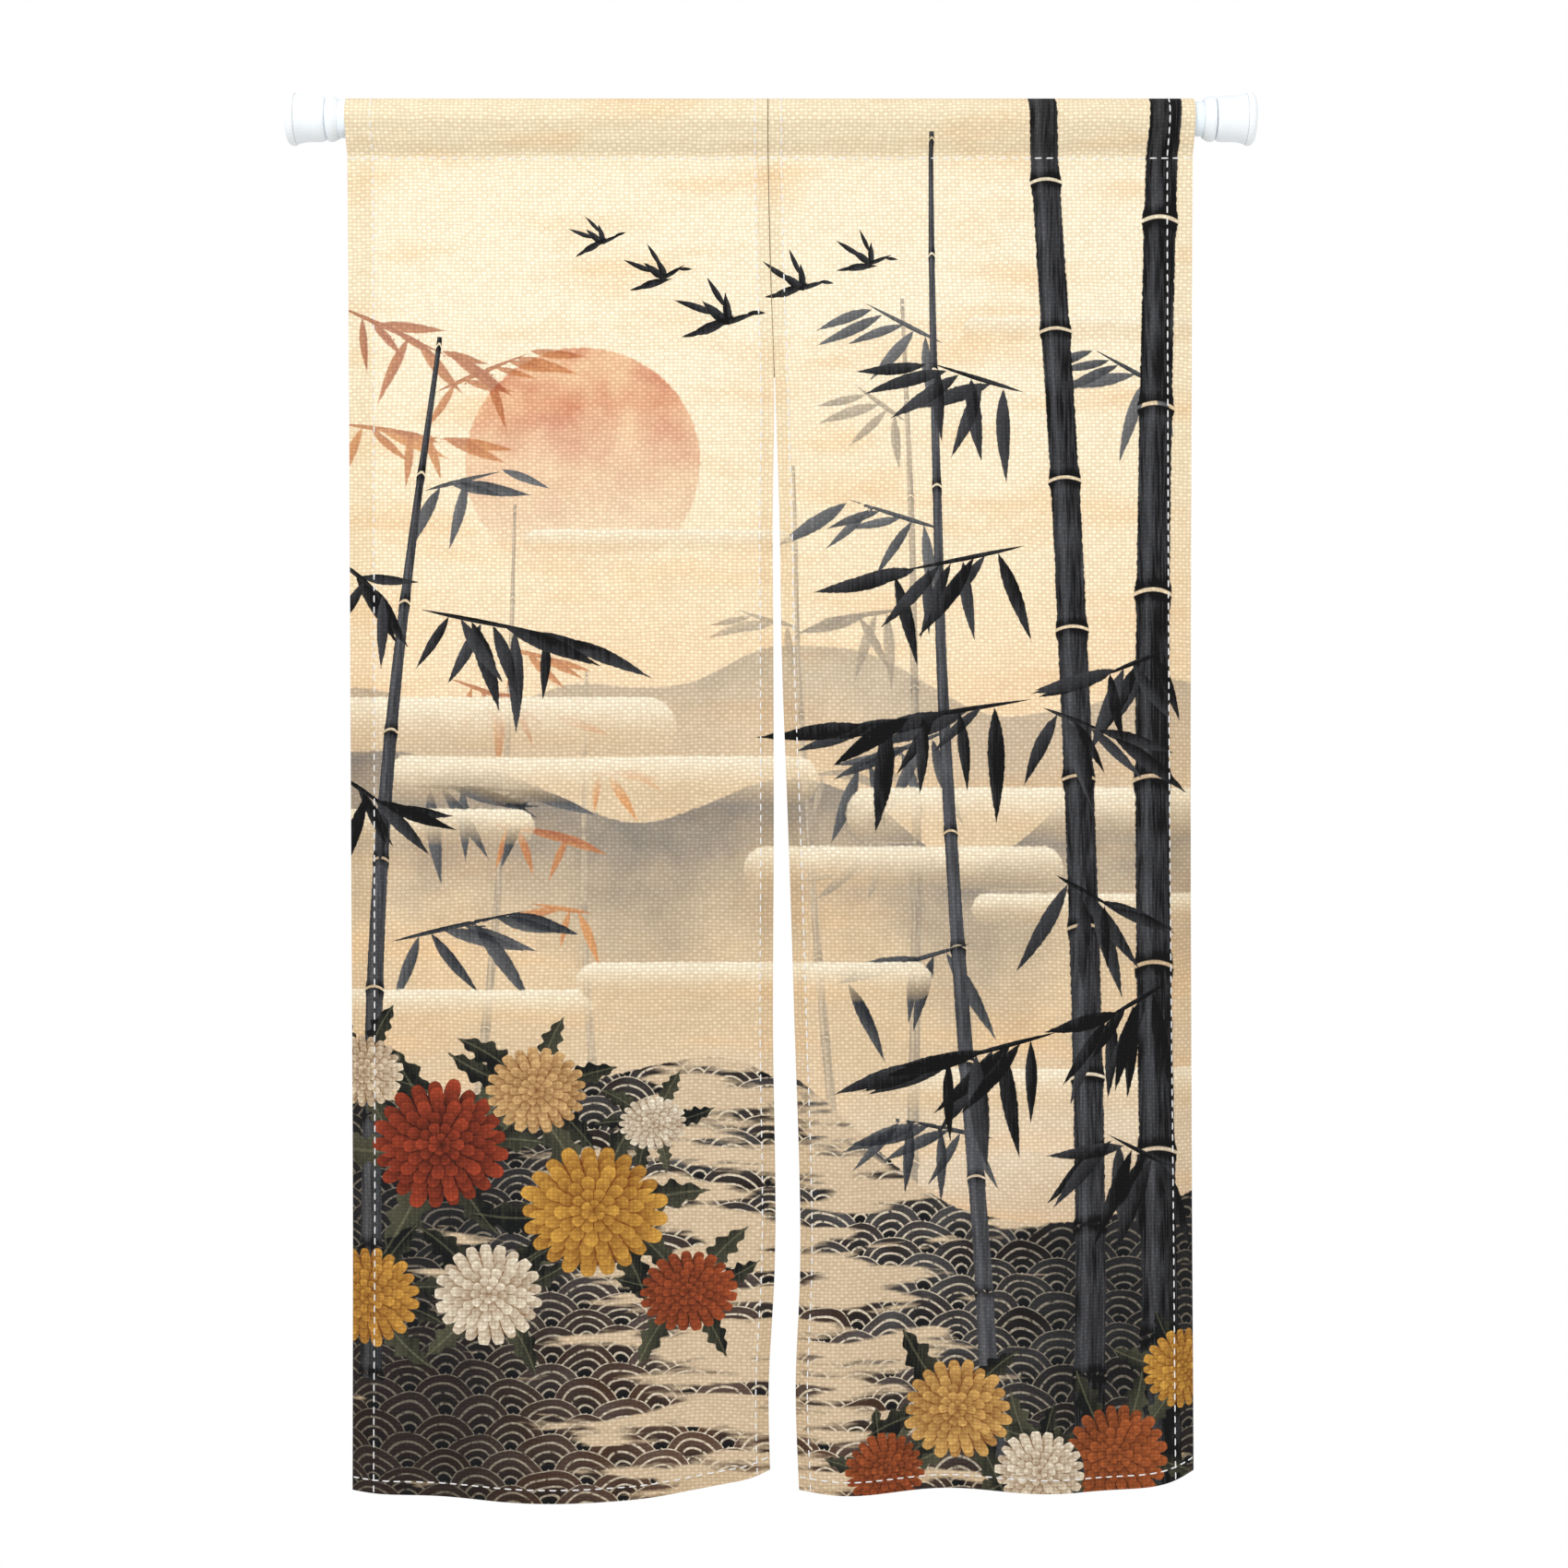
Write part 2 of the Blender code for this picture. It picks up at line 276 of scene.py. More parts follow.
def panelFaces(columnCount, rowCount, outerCount, innerCount):
    # quads round the outer and the inner loop, and a rim that joins the two at both ends
    faces = []
    innerBase = columnCount * outerCount
    for base, count, turned in ((0, outerCount, False), (innerBase, innerCount, True)):
        for column in range(columnCount - 1):
            first = base + column * count
            for i in range(count):
                j = (i + 1) % count
                quad = (first + i, first + j, first + count + j, first + count + i)
                faces.append(quad[::-1] if turned else quad)
    every = cloth["backEvery"]
    backCount = (rowCount - 1) // every + 1
    for column in (0, columnCount - 1):
        start = column * outerCount
        last = start + outerCount - 1
        stitchFront = start + rowCount - 1
        innerStart = innerBase + column * innerCount
        rim = []
        for i in range(backCount - 1):
            rim.append([start + i * every + k for k in range(every + 1)] + [last - 1 - i, last - i])
        rim.append([stitchFront, innerStart, last + 1 - backCount])
        for i in range(cloth["pocketSegments"]):
            outerPart = [stitchFront + 2 * i + k for k in range(3)]
            rim.append(outerPart + [innerStart + (i + 1) % innerCount, innerStart + i])
        faces.extend(face[::-1] if column else face for face in rim)
    return faces


def buildPanelShape(panel):
    # one panel as a closed thin shell with its rod pocket: points, faces and places on the cut cloth
    along, drop, bottom, middle = sheetGrid(panel)
    normals = unit(np.cross(np.gradient(middle, axis=1), np.gradient(middle, axis=0)))
    front = middle - normals * cloth["solidThick"] / 2
    behind = cloth["thick"] + cloth["layer"] * doubled(panel, along, drop, bottom)
    every = cloth["backEvery"]
    back = (front + normals * behind[..., None])[:, ::every]
    columnCount, rowCount = along.shape
    segments = cloth["pocketSegments"]
    apex = np.array([0.0, cloth["frameFold"] - cloth["pocketDrop"] + cloth["solidThick"]])
    outerShares = np.linspace(0, 1, 2 * segments + 1)[1:-1]
    innerShares = np.linspace(0, 1, segments + 1)[1:-1]
    outerPath, pathLength = pocketProfile(cloth["thick"], front[0, -1, 1:], back[0, -1, 1:], outerShares)
    innerPath = np.vstack([apex, pocketProfile(0, apex, apex, innerShares)[0]])

    def sweep(path):
        # the same path at every column
        across = np.broadcast_to(front[:, -1:, :1], (columnCount, len(path), 1))
        return np.concatenate([across, np.broadcast_to(path, (columnCount, *path.shape))], axis=-1)

    outer = np.concatenate([front, sweep(outerPath), back[:, ::-1]], axis=1)
    inner = sweep(innerPath)
    pocketDown = np.tile(cloth["pocketDrop"] - outerShares * pathLength, (columnCount, 1))
    down = np.concatenate([drop, pocketDown, drop[:, ::every][:, ::-1]], axis=1)
    backStart = rowCount + len(outerShares)
    behindRod = np.arange(outer.shape[1]) >= backStart
    insideDown = np.full(len(innerPath), cloth["pocketDrop"])
    places = [
        np.stack(np.broadcast_arrays(along[:, :1], *rest), -1).reshape(-1, 4)
        for rest in ((down, bottom, behindRod), (insideDown, bottom, 1.0))
    ]
    return {
        "points": np.concatenate([outer.reshape(-1, 3), inner.reshape(-1, 3)]) * mm,
        "faces": panelFaces(columnCount, rowCount, outer.shape[1], len(innerPath)),
        "places": np.concatenate(places).T,      # along, down, drop of the bottom edge, 1 on the back
        "outer": outer, "rows": rowCount, "backStart": backStart,
    }


shapes = {side: buildPanelShape(panel) for side, panel in panels.items()}
print("scene: cloth shaped,", [len(shape["faces"]) for shape in shapes.values()], "faces")


# The picture: strokes on the cut cloth, 861 wide and 1420 down, seam at 430.
# Each stroke leaves its own straight coordinates on the cloth near it, so the material draws its
# outline exactly. Strokes that lie close go to different copies of their ink. The material reads
# three copies at once, as the three parts of a vector.

picture = {
    "seed": 11,
    "reach": 16.0,             # how far outside a stroke its coordinates are written
    "hold": 5.0,               # how far outside a stroke they count in full
    "holdFade": 4.0,
    "shareFade": 14.0,         # how softly they give way beside another stroke of the same copy
    "inks": {"stem": 3, "far": 3, "mid": 3, "near": 6, "green": 3, "bloom": 3},
    "bendSigns": (1.0, -1.0, 0.5),
    "bend": 0.9,               # bow of a leaf, in half widths
    "room": 1.0,               # least room between strokes of one copy
    "free": 400.0,             # room where a copy has no strokes yet
    "empty": (0.0, 9.0, 0.5),  # run, off and tone where no stroke lies
    "deepest": 400.0,          # how far below its far edge the water is measured
    "mistReach": 30.0,
}

# leaves on a twig: where the first one grows and how far the rest spread, as shares of its length;
# how they fan out, how every third droops, their length, half width and tone
leafHabit = {
    "twigWidth": 2.8, "first": 0.22, "spread": 0.74, "fan": (10, 72), "droop": (84, 124),
    "length": (0.66, 1.14), "slimness": (0.078, 0.102), "tone": (-0.06, 0.3),
    "tries": 7,                # leaves tried for each place on a twig
}
# leaves under a flower, in its own sizes
ruff = {
    "leaves": 6, "jitter": (-22, 22), "at": (0.55, 0.5), "length": (0.95, 1.3), "width": 0.2,
    "tone": (0, 0.5),
}
# where the water begins, in mm down the panels
shore = {
    "height": 1000, "swell": 24, "length": 96, "shift": 0.6, "fall": 120, "fallFrom": 360,
    "fallOver": 260,
}
# any leaf: where its checked points start and how many they are, its crest and fullness
leafShape = {"from": 0.12, "points": 7, "crest": 0.72, "fullness": 0.85}
birdTone = 0.15

# x and y of the foot and top, half widths there, bow, spacing of the joints, tone
stalks = table(
    "ink foot top wide bow joint tone",
    ("stem1", (744, 1450), (704, -70), (19, 15), 16, 158, 0.1),
    ("stem1", (826, 1450), (836, -70), (23, 17), -12, 186, 0.0),
    ("stem1", (650, 1450), (596, 40), (12, 2.5), -20, 122, 0.45),
    ("stem1", (22, 1300), (92, 250), (14, 2.5), -24, 128, 0.3),
    ("stem0", (548, 1180), (564, 210), (8, 2), 12, 96, 0.3),
    ("stem0", (474, 1120), (446, 380), (6, 1.6), -8, 84, 0.5),
    ("stem0", (120, 1120), (168, 420), (6, 1.6), 10, 92, 0.4),
    ("stem0", (252, 1060), (240, 590), (5, 1.4), -8, 78, 0.7),
)

# where a twig leaves, its direction in degrees (0 right, 90 down), length, leaves, leaf length, tone
twigs = table(
    "ink at turn long leaves leaf tone",
    ("far", (566, 330), 214, 70, 7, 66, 0.4), ("far", (562, 520), 172, 96, 8, 74, 0.3),
    ("far", (556, 760), 158, 84, 8, 72, 0.4), ("far", (450, 540), 196, 64, 7, 60, 0.6),
    ("far", (456, 690), -6, 60, 6, 58, 0.6), ("far", (-12, 210), 24, 130, 12, 74, 0.1),
    ("far", (-12, 330), 8, 120, 12, 72, 0.4), ("far", (86, 300), -24, 110, 11, 70, 0.2),
    ("far", (100, 590), 20, 120, 11, 70, 0.2), ("far", (156, 560), 12, 72, 7, 62, 0.5),
    ("far", (142, 740), 8, 84, 7, 64, 0.4), ("far", (240, 690), -8, 60, 7, 56, 0.8),
    ("far", (246, 830), 188, 66, 7, 60, 0.7),
    ("mid", (606, 250), 206, 96, 7, 78, 0.45), ("mid", (604, 440), 196, 110, 8, 84, 0.35),
    ("mid", (612, 640), 158, 130, 9, 90, 0.25), ("mid", (626, 860), 164, 150, 10, 96, 0.2),
    ("mid", (644, 1060), 190, 120, 9, 92, 0.15), ("mid", (842, 300), 208, 96, 8, 84, 0.3),
    ("mid", (76, 400), -16, 84, 8, 78, 0.4), ("mid", (54, 700), 2, 130, 10, 92, 0.2),
    ("mid", (40, 860), -14, 150, 11, 96, 0.1),
    ("near", (690, 300), 196, 110, 8, 90, 0.2), ("near", (690, 455), 168, 150, 10, 100, 0.1),
    ("near", (840, 560), 160, 90, 9, 96, 0.05), ("near", (694, 612), 172, 190, 12, 112, 0.05),
    ("near", (702, 620), 22, 84, 8, 92, 0.1), ("near", (712, 790), 30, 80, 9, 100, 0.0),
    ("near", (716, 950), 166, 150, 12, 116, 0.0), ("near", (834, 900), 150, 90, 9, 104, 0.0),
    ("near", (838, 1090), 204, 84, 9, 100, 0.0), ("near", (70, 520), 12, 150, 11, 100, 0.1),
    ("near", (-12, 470), 36, 60, 7, 90, 0.1), ("near", (-12, 690), 30, 66, 8, 96, 0.0),
)

# centre, size and squash of each flower, and its tone: 0 is dark rust, 0.5 ochre, 1 cream
blooms = table(
    "ink at size squash tone",
    ("bloom0", (92, 1066), 72, 0.96, 0.02), ("bloom0", (246, 1132), 76, 0.92, 0.5),
    ("bloom0", (604, 1338), 60, 0.9, 0.55), ("bloom0", (772, 1382), 58, 0.94, 0.1),
    ("bloom1", (190, 1010), 54, 0.86, 0.62), ("bloom0", (18, 1222), 56, 0.95, 0.45),
    ("bloom1", (342, 1216), 52, 0.84, 0.06), ("bloom1", (524, 1398), 46, 0.88, 0.08),
    ("bloom1", (690, 1396), 50, 0.86, 0.97), ("bloom1", (142, 1218), 58, 0.93, 0.96),
    ("bloom1", (306, 1044), 36, 0.8, 0.98), ("bloom1", (14, 992), 44, 0.9, 0.9),
    ("bloom1", (848, 1296), 48, 0.9, 0.5),
)

# birds: place, size and tilt in degrees
birds = table(
    "at size tilt",
    ((372, 232), 1.25, -8), ((452, 196), 1.05, -4), ((312, 186), 0.95, -12), ((524, 170), 0.9, -2),
    ((252, 150), 0.8, -14),
)

# a bird's strokes: from, to, half width
birdStrokes = (
    ((-22, 4), (18, -3), 4.8), ((2, 0), (36, -9), 2.8), ((26, -7), (42, -6), 2.2),
    ((11, 1), (-11, -22), 4.8), ((1, -9), (-31, -29), 3.4), ((11, 1), (8, -27), 4.0),
    ((10, -13), (-3, -42), 2.8), ((-10, 2), (-31, 6), 2.4),
)

# bands of cloud: left end, right end, height, half thickness
clouds = (
    (-60, 300, 640, 30), (60, 440, 694, 24), (-60, 170, 742, 18),
    (520, 930, 730, 28), (420, 700, 784, 22), (640, 930, 826, 16),
    (-60, 230, 926, 18), (250, 560, 900, 20), (560, 930, 1010, 22),
    (190, 430, 452, 13), (640, 930, 236, 14),
)


def newCanvas(across, down):
    count = len(across)
    layers = {}
    for ink, copies in picture["inks"].items():
        for copy in range(copies):
            layers[f"{ink}{copy}"] = {
                "distance": np.full(count, picture["reach"]),
                "second": np.full(count, picture["reach"]),
                "values": np.tile(picture["empty"], (count, 1)),
                "taken": [],
            }
    mist = np.tile([picture["mistReach"], 0.0], (count, 1))
    return {"x": across, "y": down, "layers": layers, "mist": mist}


def heading(turn):
    return np.array([math.cos(math.radians(turn)), math.sin(math.radians(turn))])


def leafPoints(base, turn, length):
    shares = np.linspace(leafShape["from"], 1, leafShape["points"])[:, None]
    return np.array(base) + heading(turn) * length * shares


def freestCopy(canvas, ink, points, halfWidth):
    # the copy of an ink whose strokes lie furthest from these points, and how far that is
    best, bestRoom = None, -math.inf
    for copy in range(picture["inks"][ink]):
        name = f"{ink}{copy}"
        room = picture["free"] - copy
        for others, otherWidth in canvas["layers"][name]["taken"]:
            apart = np.linalg.norm(points[:, None] - others, axis=-1).min()
            room = min(room, apart - halfWidth - otherWidth)
        if room > bestRoom:
            best, bestRoom = name, room
    return best, bestRoom


def runAndOff(x, y, start, direction):
    # how far along a straight line, and how far beside it
    run = (x - start[0]) * direction[0] + (y - start[1]) * direction[1]
    return run, (y - start[1]) * direction[0] - (x - start[0]) * direction[1]


def stamp(canvas, name, ends, room, measure, tone):
    # write one stroke's distance and coordinates on the cloth near it
    spots = np.stack([canvas["x"], canvas["y"]], -1)
    room = room + picture["reach"]
    inBox = (spots > np.min(ends, axis=0) - room) & (spots < np.max(ends, axis=0) + room)
    chosen = np.nonzero(inBox.all(axis=1))[0]
    if not len(chosen):
        return
    distance, first, second = measure(*spots[chosen].T)
    layer = canvas["layers"][name]
    old = layer["distance"][chosen]
    over = distance < old
    layer["second"][chosen] = np.where(over, old, np.minimum(layer["second"][chosen], distance))
    layer["distance"][chosen[over]] = distance[over]
    layer["values"][chosen[over]] = np.stack([first[over], second[over], np.full(over.sum(), tone)], -1)


def drawLeaf(canvas, ink, base, turn, length, halfWidth, tone):
    # a slim pointed leaf, widest a third of the way along; twigs and feathers are slimmer ones
    points = leafPoints(base, turn, length)
    name, _ = freestCopy(canvas, ink, points, halfWidth)
    canvas["layers"][name]["taken"].append((points, halfWidth))
    bend = picture["bend"] * halfWidth * picture["bendSigns"][int(name[-1]) % 3]

    def measure(x, y):
        run, off = runAndOff(x, y, base, heading(turn))
        share = np.clip(run / length, 0, 1)
        half = halfWidth * np.sin(math.pi * share ** leafShape["crest"]) ** leafShape["fullness"]
        past = np.maximum(np.maximum(-run, run - length), 0)
        beside = np.abs(off - bend * share**2) - half
        distance = np.where(past > 0, np.hypot(np.maximum(beside, 0), past), beside)
        return distance, run / length, off / halfWidth

    stamp(canvas, name, (base, points[-1]), 2 * halfWidth, measure, tone)


def drawStalk(canvas, stalk):
    # a bamboo stem: its coordinates count the joints along it and half widths across it
    foot, top = np.array(stalk["foot"]), np.array(stalk["top"])
    length = math.dist(foot, top)
    joints = round(length / stalk["joint"])
    wide = stalk["wide"]

    def measure(x, y):
        run, off = runAndOff(x, y, foot, (top - foot) / length)
        share = np.clip(run / length, 0, 1)
        radius = wide[0] + (wide[1] - wide[0]) * share
        off = off - stalk["bow"] * np.sin(math.pi * share)
        distance = np.maximum(np.abs(off) - radius, np.maximum(-run, run - length))
        return distance, run / length * joints, off / radius

    stamp(canvas, stalk["ink"], (foot, top), wide[0] + abs(stalk["bow"]), measure, stalk["tone"])


def drawTwig(canvas, twig, random):
    # a thin twig with leaves that fan out and droop from its outer part, each where it has most room
    ink, tone = twig["ink"], twig["tone"]
    direction = heading(twig["turn"])
    drawLeaf(canvas, ink, twig["at"], twig["turn"], twig["long"], leafHabit["twigWidth"], tone)
    for leaf in range(twig["leaves"]):
        place = twig["long"] * (leafHabit["first"] + leafHabit["spread"] * leaf / (twig["leaves"] - 1))
        base = twig["at"] + direction * place
        best, bestRoom = None, -math.inf
        for attempt in range(leafHabit["tries"]):
            fan = random.uniform(*leafHabit["fan" if leaf % 3 else "droop"])
            turn = fan if direction[0] > 0 else 180 - fan
            length = twig["leaf"] * random.uniform(*leafHabit["length"])
            halfWidth = length * random.uniform(*leafHabit["slimness"])
            room = freestCopy(canvas, ink, leafPoints(base, turn, length), halfWidth)[1]
            if room > bestRoom:
                best, bestRoom = (turn, length, halfWidth), room
        leafTone = tone + random.uniform(*leafHabit["tone"])
        if bestRoom > picture["room"]:
            drawLeaf(canvas, ink, base, *best, leafTone)


def drawBloom(canvas, bloom, random):
    # the flower's own coordinates, and a ruff of lobed leaves under it
    centre, size, squash = bloom["at"], bloom["size"], bloom["squash"]
    for leaf in range(ruff["leaves"]):
        turn = 360 / ruff["leaves"] * leaf + random.uniform(*ruff["jitter"])
        base = centre + heading(turn) * size * ruff["at"]
        length = size * random.uniform(*ruff["length"])
        drawLeaf(canvas, "green", base, turn, length, length * ruff["width"], random.uniform(*ruff["tone"]))

    def measure(x, y):
        across = (x - centre[0]) / size
        down = (y - centre[1]) / size / squash
        return (np.hypot(across, down) - 1) * size, across, down

    stamp(canvas, bloom["ink"], (centre, centre), size, measure, bloom["tone"])


def drawBird(canvas, bird):
    size = bird["size"]
    cosine, sine = heading(bird["tilt"])
    for start, end, halfWidth in birdStrokes:
        turn = math.degrees(math.atan2(end[1] - start[1], end[0] - start[0])) + bird["tilt"]
        turned = np.array([start[0] * cosine - start[1] * sine, start[0] * sine + start[1] * cosine])
        length = math.dist(start, end) * size
        drawLeaf(canvas, "near", bird["at"] + turned * size, turn, length, halfWidth * size, birdTone)


def drawCloud(canvas, cloud):
    left, right, height, half = cloud
    x, y = canvas["x"], canvas["y"]
    distance = np.hypot(x - np.clip(x, left, right), y - height) - half
    over = distance < canvas["mist"][:, 0]
    canvas["mist"][over] = np.stack([distance[over], (y[over] - height) / half], -1)


def waterLine(x):
    # the height of the water's far edge, rolling down to the right
    swell = shore["swell"] * np.sin(x / shore["length"] + shore["shift"])
    return shore["height"] + swell + shore["fall"] * smoothStep((x - shore["fallFrom"]) / shore["fallOver"])


def heldCopy(layer):
    # a copy's coordinates with a fourth one: how far they can be trusted at each place
    distance = layer["distance"]
    fade = np.minimum(
        (picture["hold"] + picture["holdFade"] - distance) / picture["holdFade"],
        (layer["second"] - distance) / picture["shareFade"],
    )
    held = np.where(distance < -0.5, 1.0, np.clip(fade, 0, 1))
    return np.concatenate([layer["values"], held[:, None]], axis=1)


def paint(across, down):
    # every stroke of the picture, for any set of places on the cloth
    canvas = newCanvas(across, down)
    random = np.random.default_rng(picture["seed"])
    for stalk in stalks:
        drawStalk(canvas, stalk)
    for twig in twigs:
        drawTwig(canvas, twig, random)
    for bloom in blooms:
        drawBloom(canvas, bloom, random)
    for bird in birds:
        drawBird(canvas, bird)
    for cloud in clouds:
        drawCloud(canvas, cloud)
    below = np.clip(down - waterLine(across), -picture["mistReach"], picture["deepest"])
    painted = {"bands": np.concatenate([canvas["mist"], below[:, None]], axis=1)}
    for ink, copies in picture["inks"].items():
        for first in range(0, copies, 3):
            parts = [heldCopy(canvas["layers"][f"{ink}{copy}"]) for copy in range(first, first + 3)]
            for index, part in enumerate(("Run", "Off", "Tone", "Hold")):
                painted[f"{ink}{first // 3}{part}"] = np.stack([copy[:, index] for copy in parts], -1)
    return painted


# Nodes, written as sums

class Wire:
    # a node's output, which takes numbers, triples and other wires in its sums
    def __init__(self, socket):
        self.socket = socket

    def output(self, key):
        return Wire(self.socket.node.outputs[key])

    def parts(self):
        split = addNode(self.socket.id_data, "ShaderNodeSeparateXYZ", {0: self})
        return [split.output(i) for i in range(3)]

    def run(self, operation, *others):
        # a Math node, or a Vector Math node where a value is a vector
        values = (self, *others)
        kind = "ShaderNodeMath"
        if any(isinstance(value, tuple) or getattr(value, "isVector", False) for value in values):
            kind = "ShaderNodeVectorMath"
            values = [(value,) * 3 if isinstance(value, (int, float)) else value for value in values]
        made = addNode(self.socket.id_data, kind, dict(enumerate(values)), operation=operation)
        return made.output("Value") if operation in ("LENGTH", "DISTANCE", "DOT_PRODUCT") else made

    @property
    def isVector(self):
        return self.socket.type in ("VECTOR", "RGBA")

    def __rsub__(self, other):
        return self.run("MULTIPLY_ADD", -1.0, other)

    def __neg__(self):
        return self * -1.0

    def held(self):
        # each part kept from 0 to 1
        return self.most(0.0).least(1.0)

    def ramp(self, low, high):
        # 0 at low, 1 at high, held beyond them
        inputs = {0: self, 1: 1 / (high - low), 2: -low / (high - low)}
        return addLinked("ShaderNodeMath", inputs, operation="MULTIPLY_ADD", use_clamp=True)


sums = {
    "__add__": "ADD", "__sub__": "SUBTRACT", "__mul__": "MULTIPLY", "__truediv__": "DIVIDE",
    "__mod__": "MODULO", "__abs__": "ABSOLUTE", "timesPlus": "MULTIPLY_ADD", "least": "MINIMUM",
    "most": "MAXIMUM",
}
for name, operation in sums.items():
    setattr(Wire, name, partialmethod(Wire.run, operation))


def feed(sockets, values):
    # link or set a node's inputs
    for key, value in values.items():
        if isinstance(value, Wire):
            value.socket.id_data.links.new(value.socket, sockets[key])
        else:
            sockets[key].default_value = value


def addNode(tree, kind, inputs=None, **settings):
    # the new node's first output
    node = tree.nodes.new(kind)
    for name, value in settings.items():
        setattr(node, name, value)
    feed(node.inputs, inputs or {})
    return Wire(node.outputs[0])


def addLinked(kind, inputs, **settings):
    # a node in the tree that its inputs come from
    tree = next(value.socket.id_data for value in inputs.values() if isinstance(value, Wire))
    return addNode(tree, kind, inputs, **settings)


def combine(x=0.0, y=0.0, z=0.0):
    return addLinked("ShaderNodeCombineXYZ", {0: x, 1: y, 2: z})


def mixColour(factor, first, second, blend="MIX"):
    inputs = {0: factor, 6: first, 7: second}
    return addLinked("ShaderNodeMix", inputs, data_type="RGBA", blend_type=blend).output(2)


def mixValue(factor, first, second):
    return addLinked("ShaderNodeMix", {0: factor, 2: first, 3: second}, data_type="FLOAT")


def luckOf(vector):
    # an even spread from 0 to 1 for any whole numbers
    return ((vector * 12.9898).run("SINE") * 437.585).run("FRACTION")


def noiseAt(place, scale, detail):
    return addLinked("ShaderNodeTexNoise", {"Vector": place, "Scale": scale, "Detail": detail})


def noise(place, scale, detail=2.0):
    # fractal noise about zero, from -0.5 to 0.5
    return noiseAt(place, scale, detail) - 0.5


def colourRamp(value, stops):
    ramp = addLinked("ShaderNodeValToRGB", {0: value})
    elements = ramp.socket.node.color_ramp.elements
    while len(elements) < len(stops):
        elements.new(0.5)
    for element, (position, tint) in zip(elements, stops):
        element.position = position
        element.color = linear(*tint)
    return ramp


def bump(height, strength, distance):
    return addLinked("ShaderNodeBump", {"Height": height, "Strength": strength, "Distance": distance})


decimal = "NodeSocketFloat"
arrow = "NodeSocketVector"
colour = "NodeSocketColor"


def newGroup(name, inputs, outputs, kind="ShaderNodeTree"):
    # a socket is given by its kind or by its default number; also returns the inputs' identifiers
    tree = bpy.data.node_groups.new(name, kind)
    identifiers = {}
    for direction, sockets in (("INPUT", inputs), ("OUTPUT", outputs)):
        for socketName, value in sockets.items():
            socketKind = value if isinstance(value, str) else decimal
            socket = tree.interface.new_socket(socketName, in_out=direction, socket_type=socketKind)
            if value is not socketKind:
                socket.default_value = value
            identifiers[socketName] = socket.identifier
    given = {socket.name: Wire(socket) for socket in tree.nodes.new("NodeGroupInput").outputs if socket.name}
    return tree, given, tree.nodes.new("NodeGroupOutput").inputs, identifiers


def useGroup(group, inputs):
    return addLinked("ShaderNodeGroup", inputs, node_tree=group)


def newMaterial(name):
    # a material, its shader's inputs and its tree
    material = bpy.data.materials.new(name)
    material.use_nodes = True
    tree = material.node_tree
    return material, tree.nodes["Principled BSDF"].inputs, tree


def onPiece(tree):
    return addNode(tree, "ShaderNodeTexCoord").output("Object")


# Node groups

weaving = {
    "across": 0.0044, "down": 0.0036, "unevenness": 0.22,
    "wander": 26.0, "wanderBy": (0.006, 0.004, 0.0), "evenness": 0.4, "warpHeight": 0.66,
    "shade": (0.05, 0.95),
}


def makeWeaveGroup():
    # plain weave: weft floats and warp floats in a chequer, with uneven threads; sizes in metres
    tree, given, result, _ = newGroup("weave", {
        "Place": arrow, "Thread Across": weaving["across"], "Thread Down": weaving["down"],
        "Unevenness": weaving["unevenness"],
    }, {"Height": decimal, "Shade": decimal})
    wander = noiseAt(given["Place"], weaving["wander"], 0.0).output("Color") - 0.5
    place = given["Place"] + wander * weaving["wanderBy"]
    cells = place / combine(given["Thread Across"], given["Thread Down"], 1.0)
    turned = (cells * math.pi).run("SINE")
    signed, rounded = turned.parts(), abs(turned).parts()
    # over 0 the weft lies on top, under 0 the warp; both sink to 0 at the holes between threads
    over = signed[0] * signed[1]
    weftProfile, warpProfile = rounded[1].run("SQRT"), rounded[0].run("SQRT")
    weft = weftProfile.timesPlus(over, weftProfile)
    warp = warpProfile.timesPlus(-over, warpProfile)
    chance = addNode(tree, "ShaderNodeTexWhiteNoise", {"Vector": cells.run("FLOOR")}, noise_dimensions="2D")
    uneven = chance.output("Value").timesPlus(given["Unevenness"], weaving["evenness"])
    height = weft.most(warp * weaving["warpHeight"]) * uneven
    # Shade, which the cloth uses as colour, gives painted shade in the holes and painted highlight on the
    # thread tops
    feed(result, {"Height": height, "Shade": height.ramp(*weaving["shade"])})
    return tree


# how a leaf swells and tapers, its rough edge, how its tone varies, its lobes and rib
brush = {
    "taper": -2.9, "swell": 5.2, "rough": 0.26, "inset": 0.1, "shadeAcross": 0.18, "hairs": 0.5,
    "overlap": -0.16, "lobes": 27.0, "lobeDepth": 0.22, "ribFall": -9.0, "ribLight": 0.6,
    "holdFall": 6.7, "holdShift": -3.0, "sharpness": 12.0, "mottle": 0.6,
}
# a stem, measured from its joints and its middle: what falls off with distance has a slope and a start
stem = {
    "jointCurve": 0.025, "flare": (-1.67, 0.15), "rough": 0.18, "halfWidth": 0.93,
    "gap": (-170.0, 2.2), "gapDepth": -0.85, "shineAt": 0.34, "shineFall": -2.4, "shine": 0.42,
    "band": (-15.0, 1.1), "bandDepth": -0.5, "luck": 0.16, "hairs": 1.1, "wash": 0.5, "sharpness": 18.0,
}

strokeInputs = {
    "Run": arrow, "Off": arrow, "Tone": arrow, "Hold": arrow,
    "Edge Noise": decimal, "Wash Noise": decimal, "Hair Noise": decimal,
}


def shownParts(given, edge):
    # 1 where a stroke covers the cloth: inside its edge and where its coordinates hold
    inside = edge.timesPlus(-given["Sharpness"], 0.5)
    return inside.least(given["Hold"].timesPlus(brush["holdFall"], brush["holdShift"])).held()


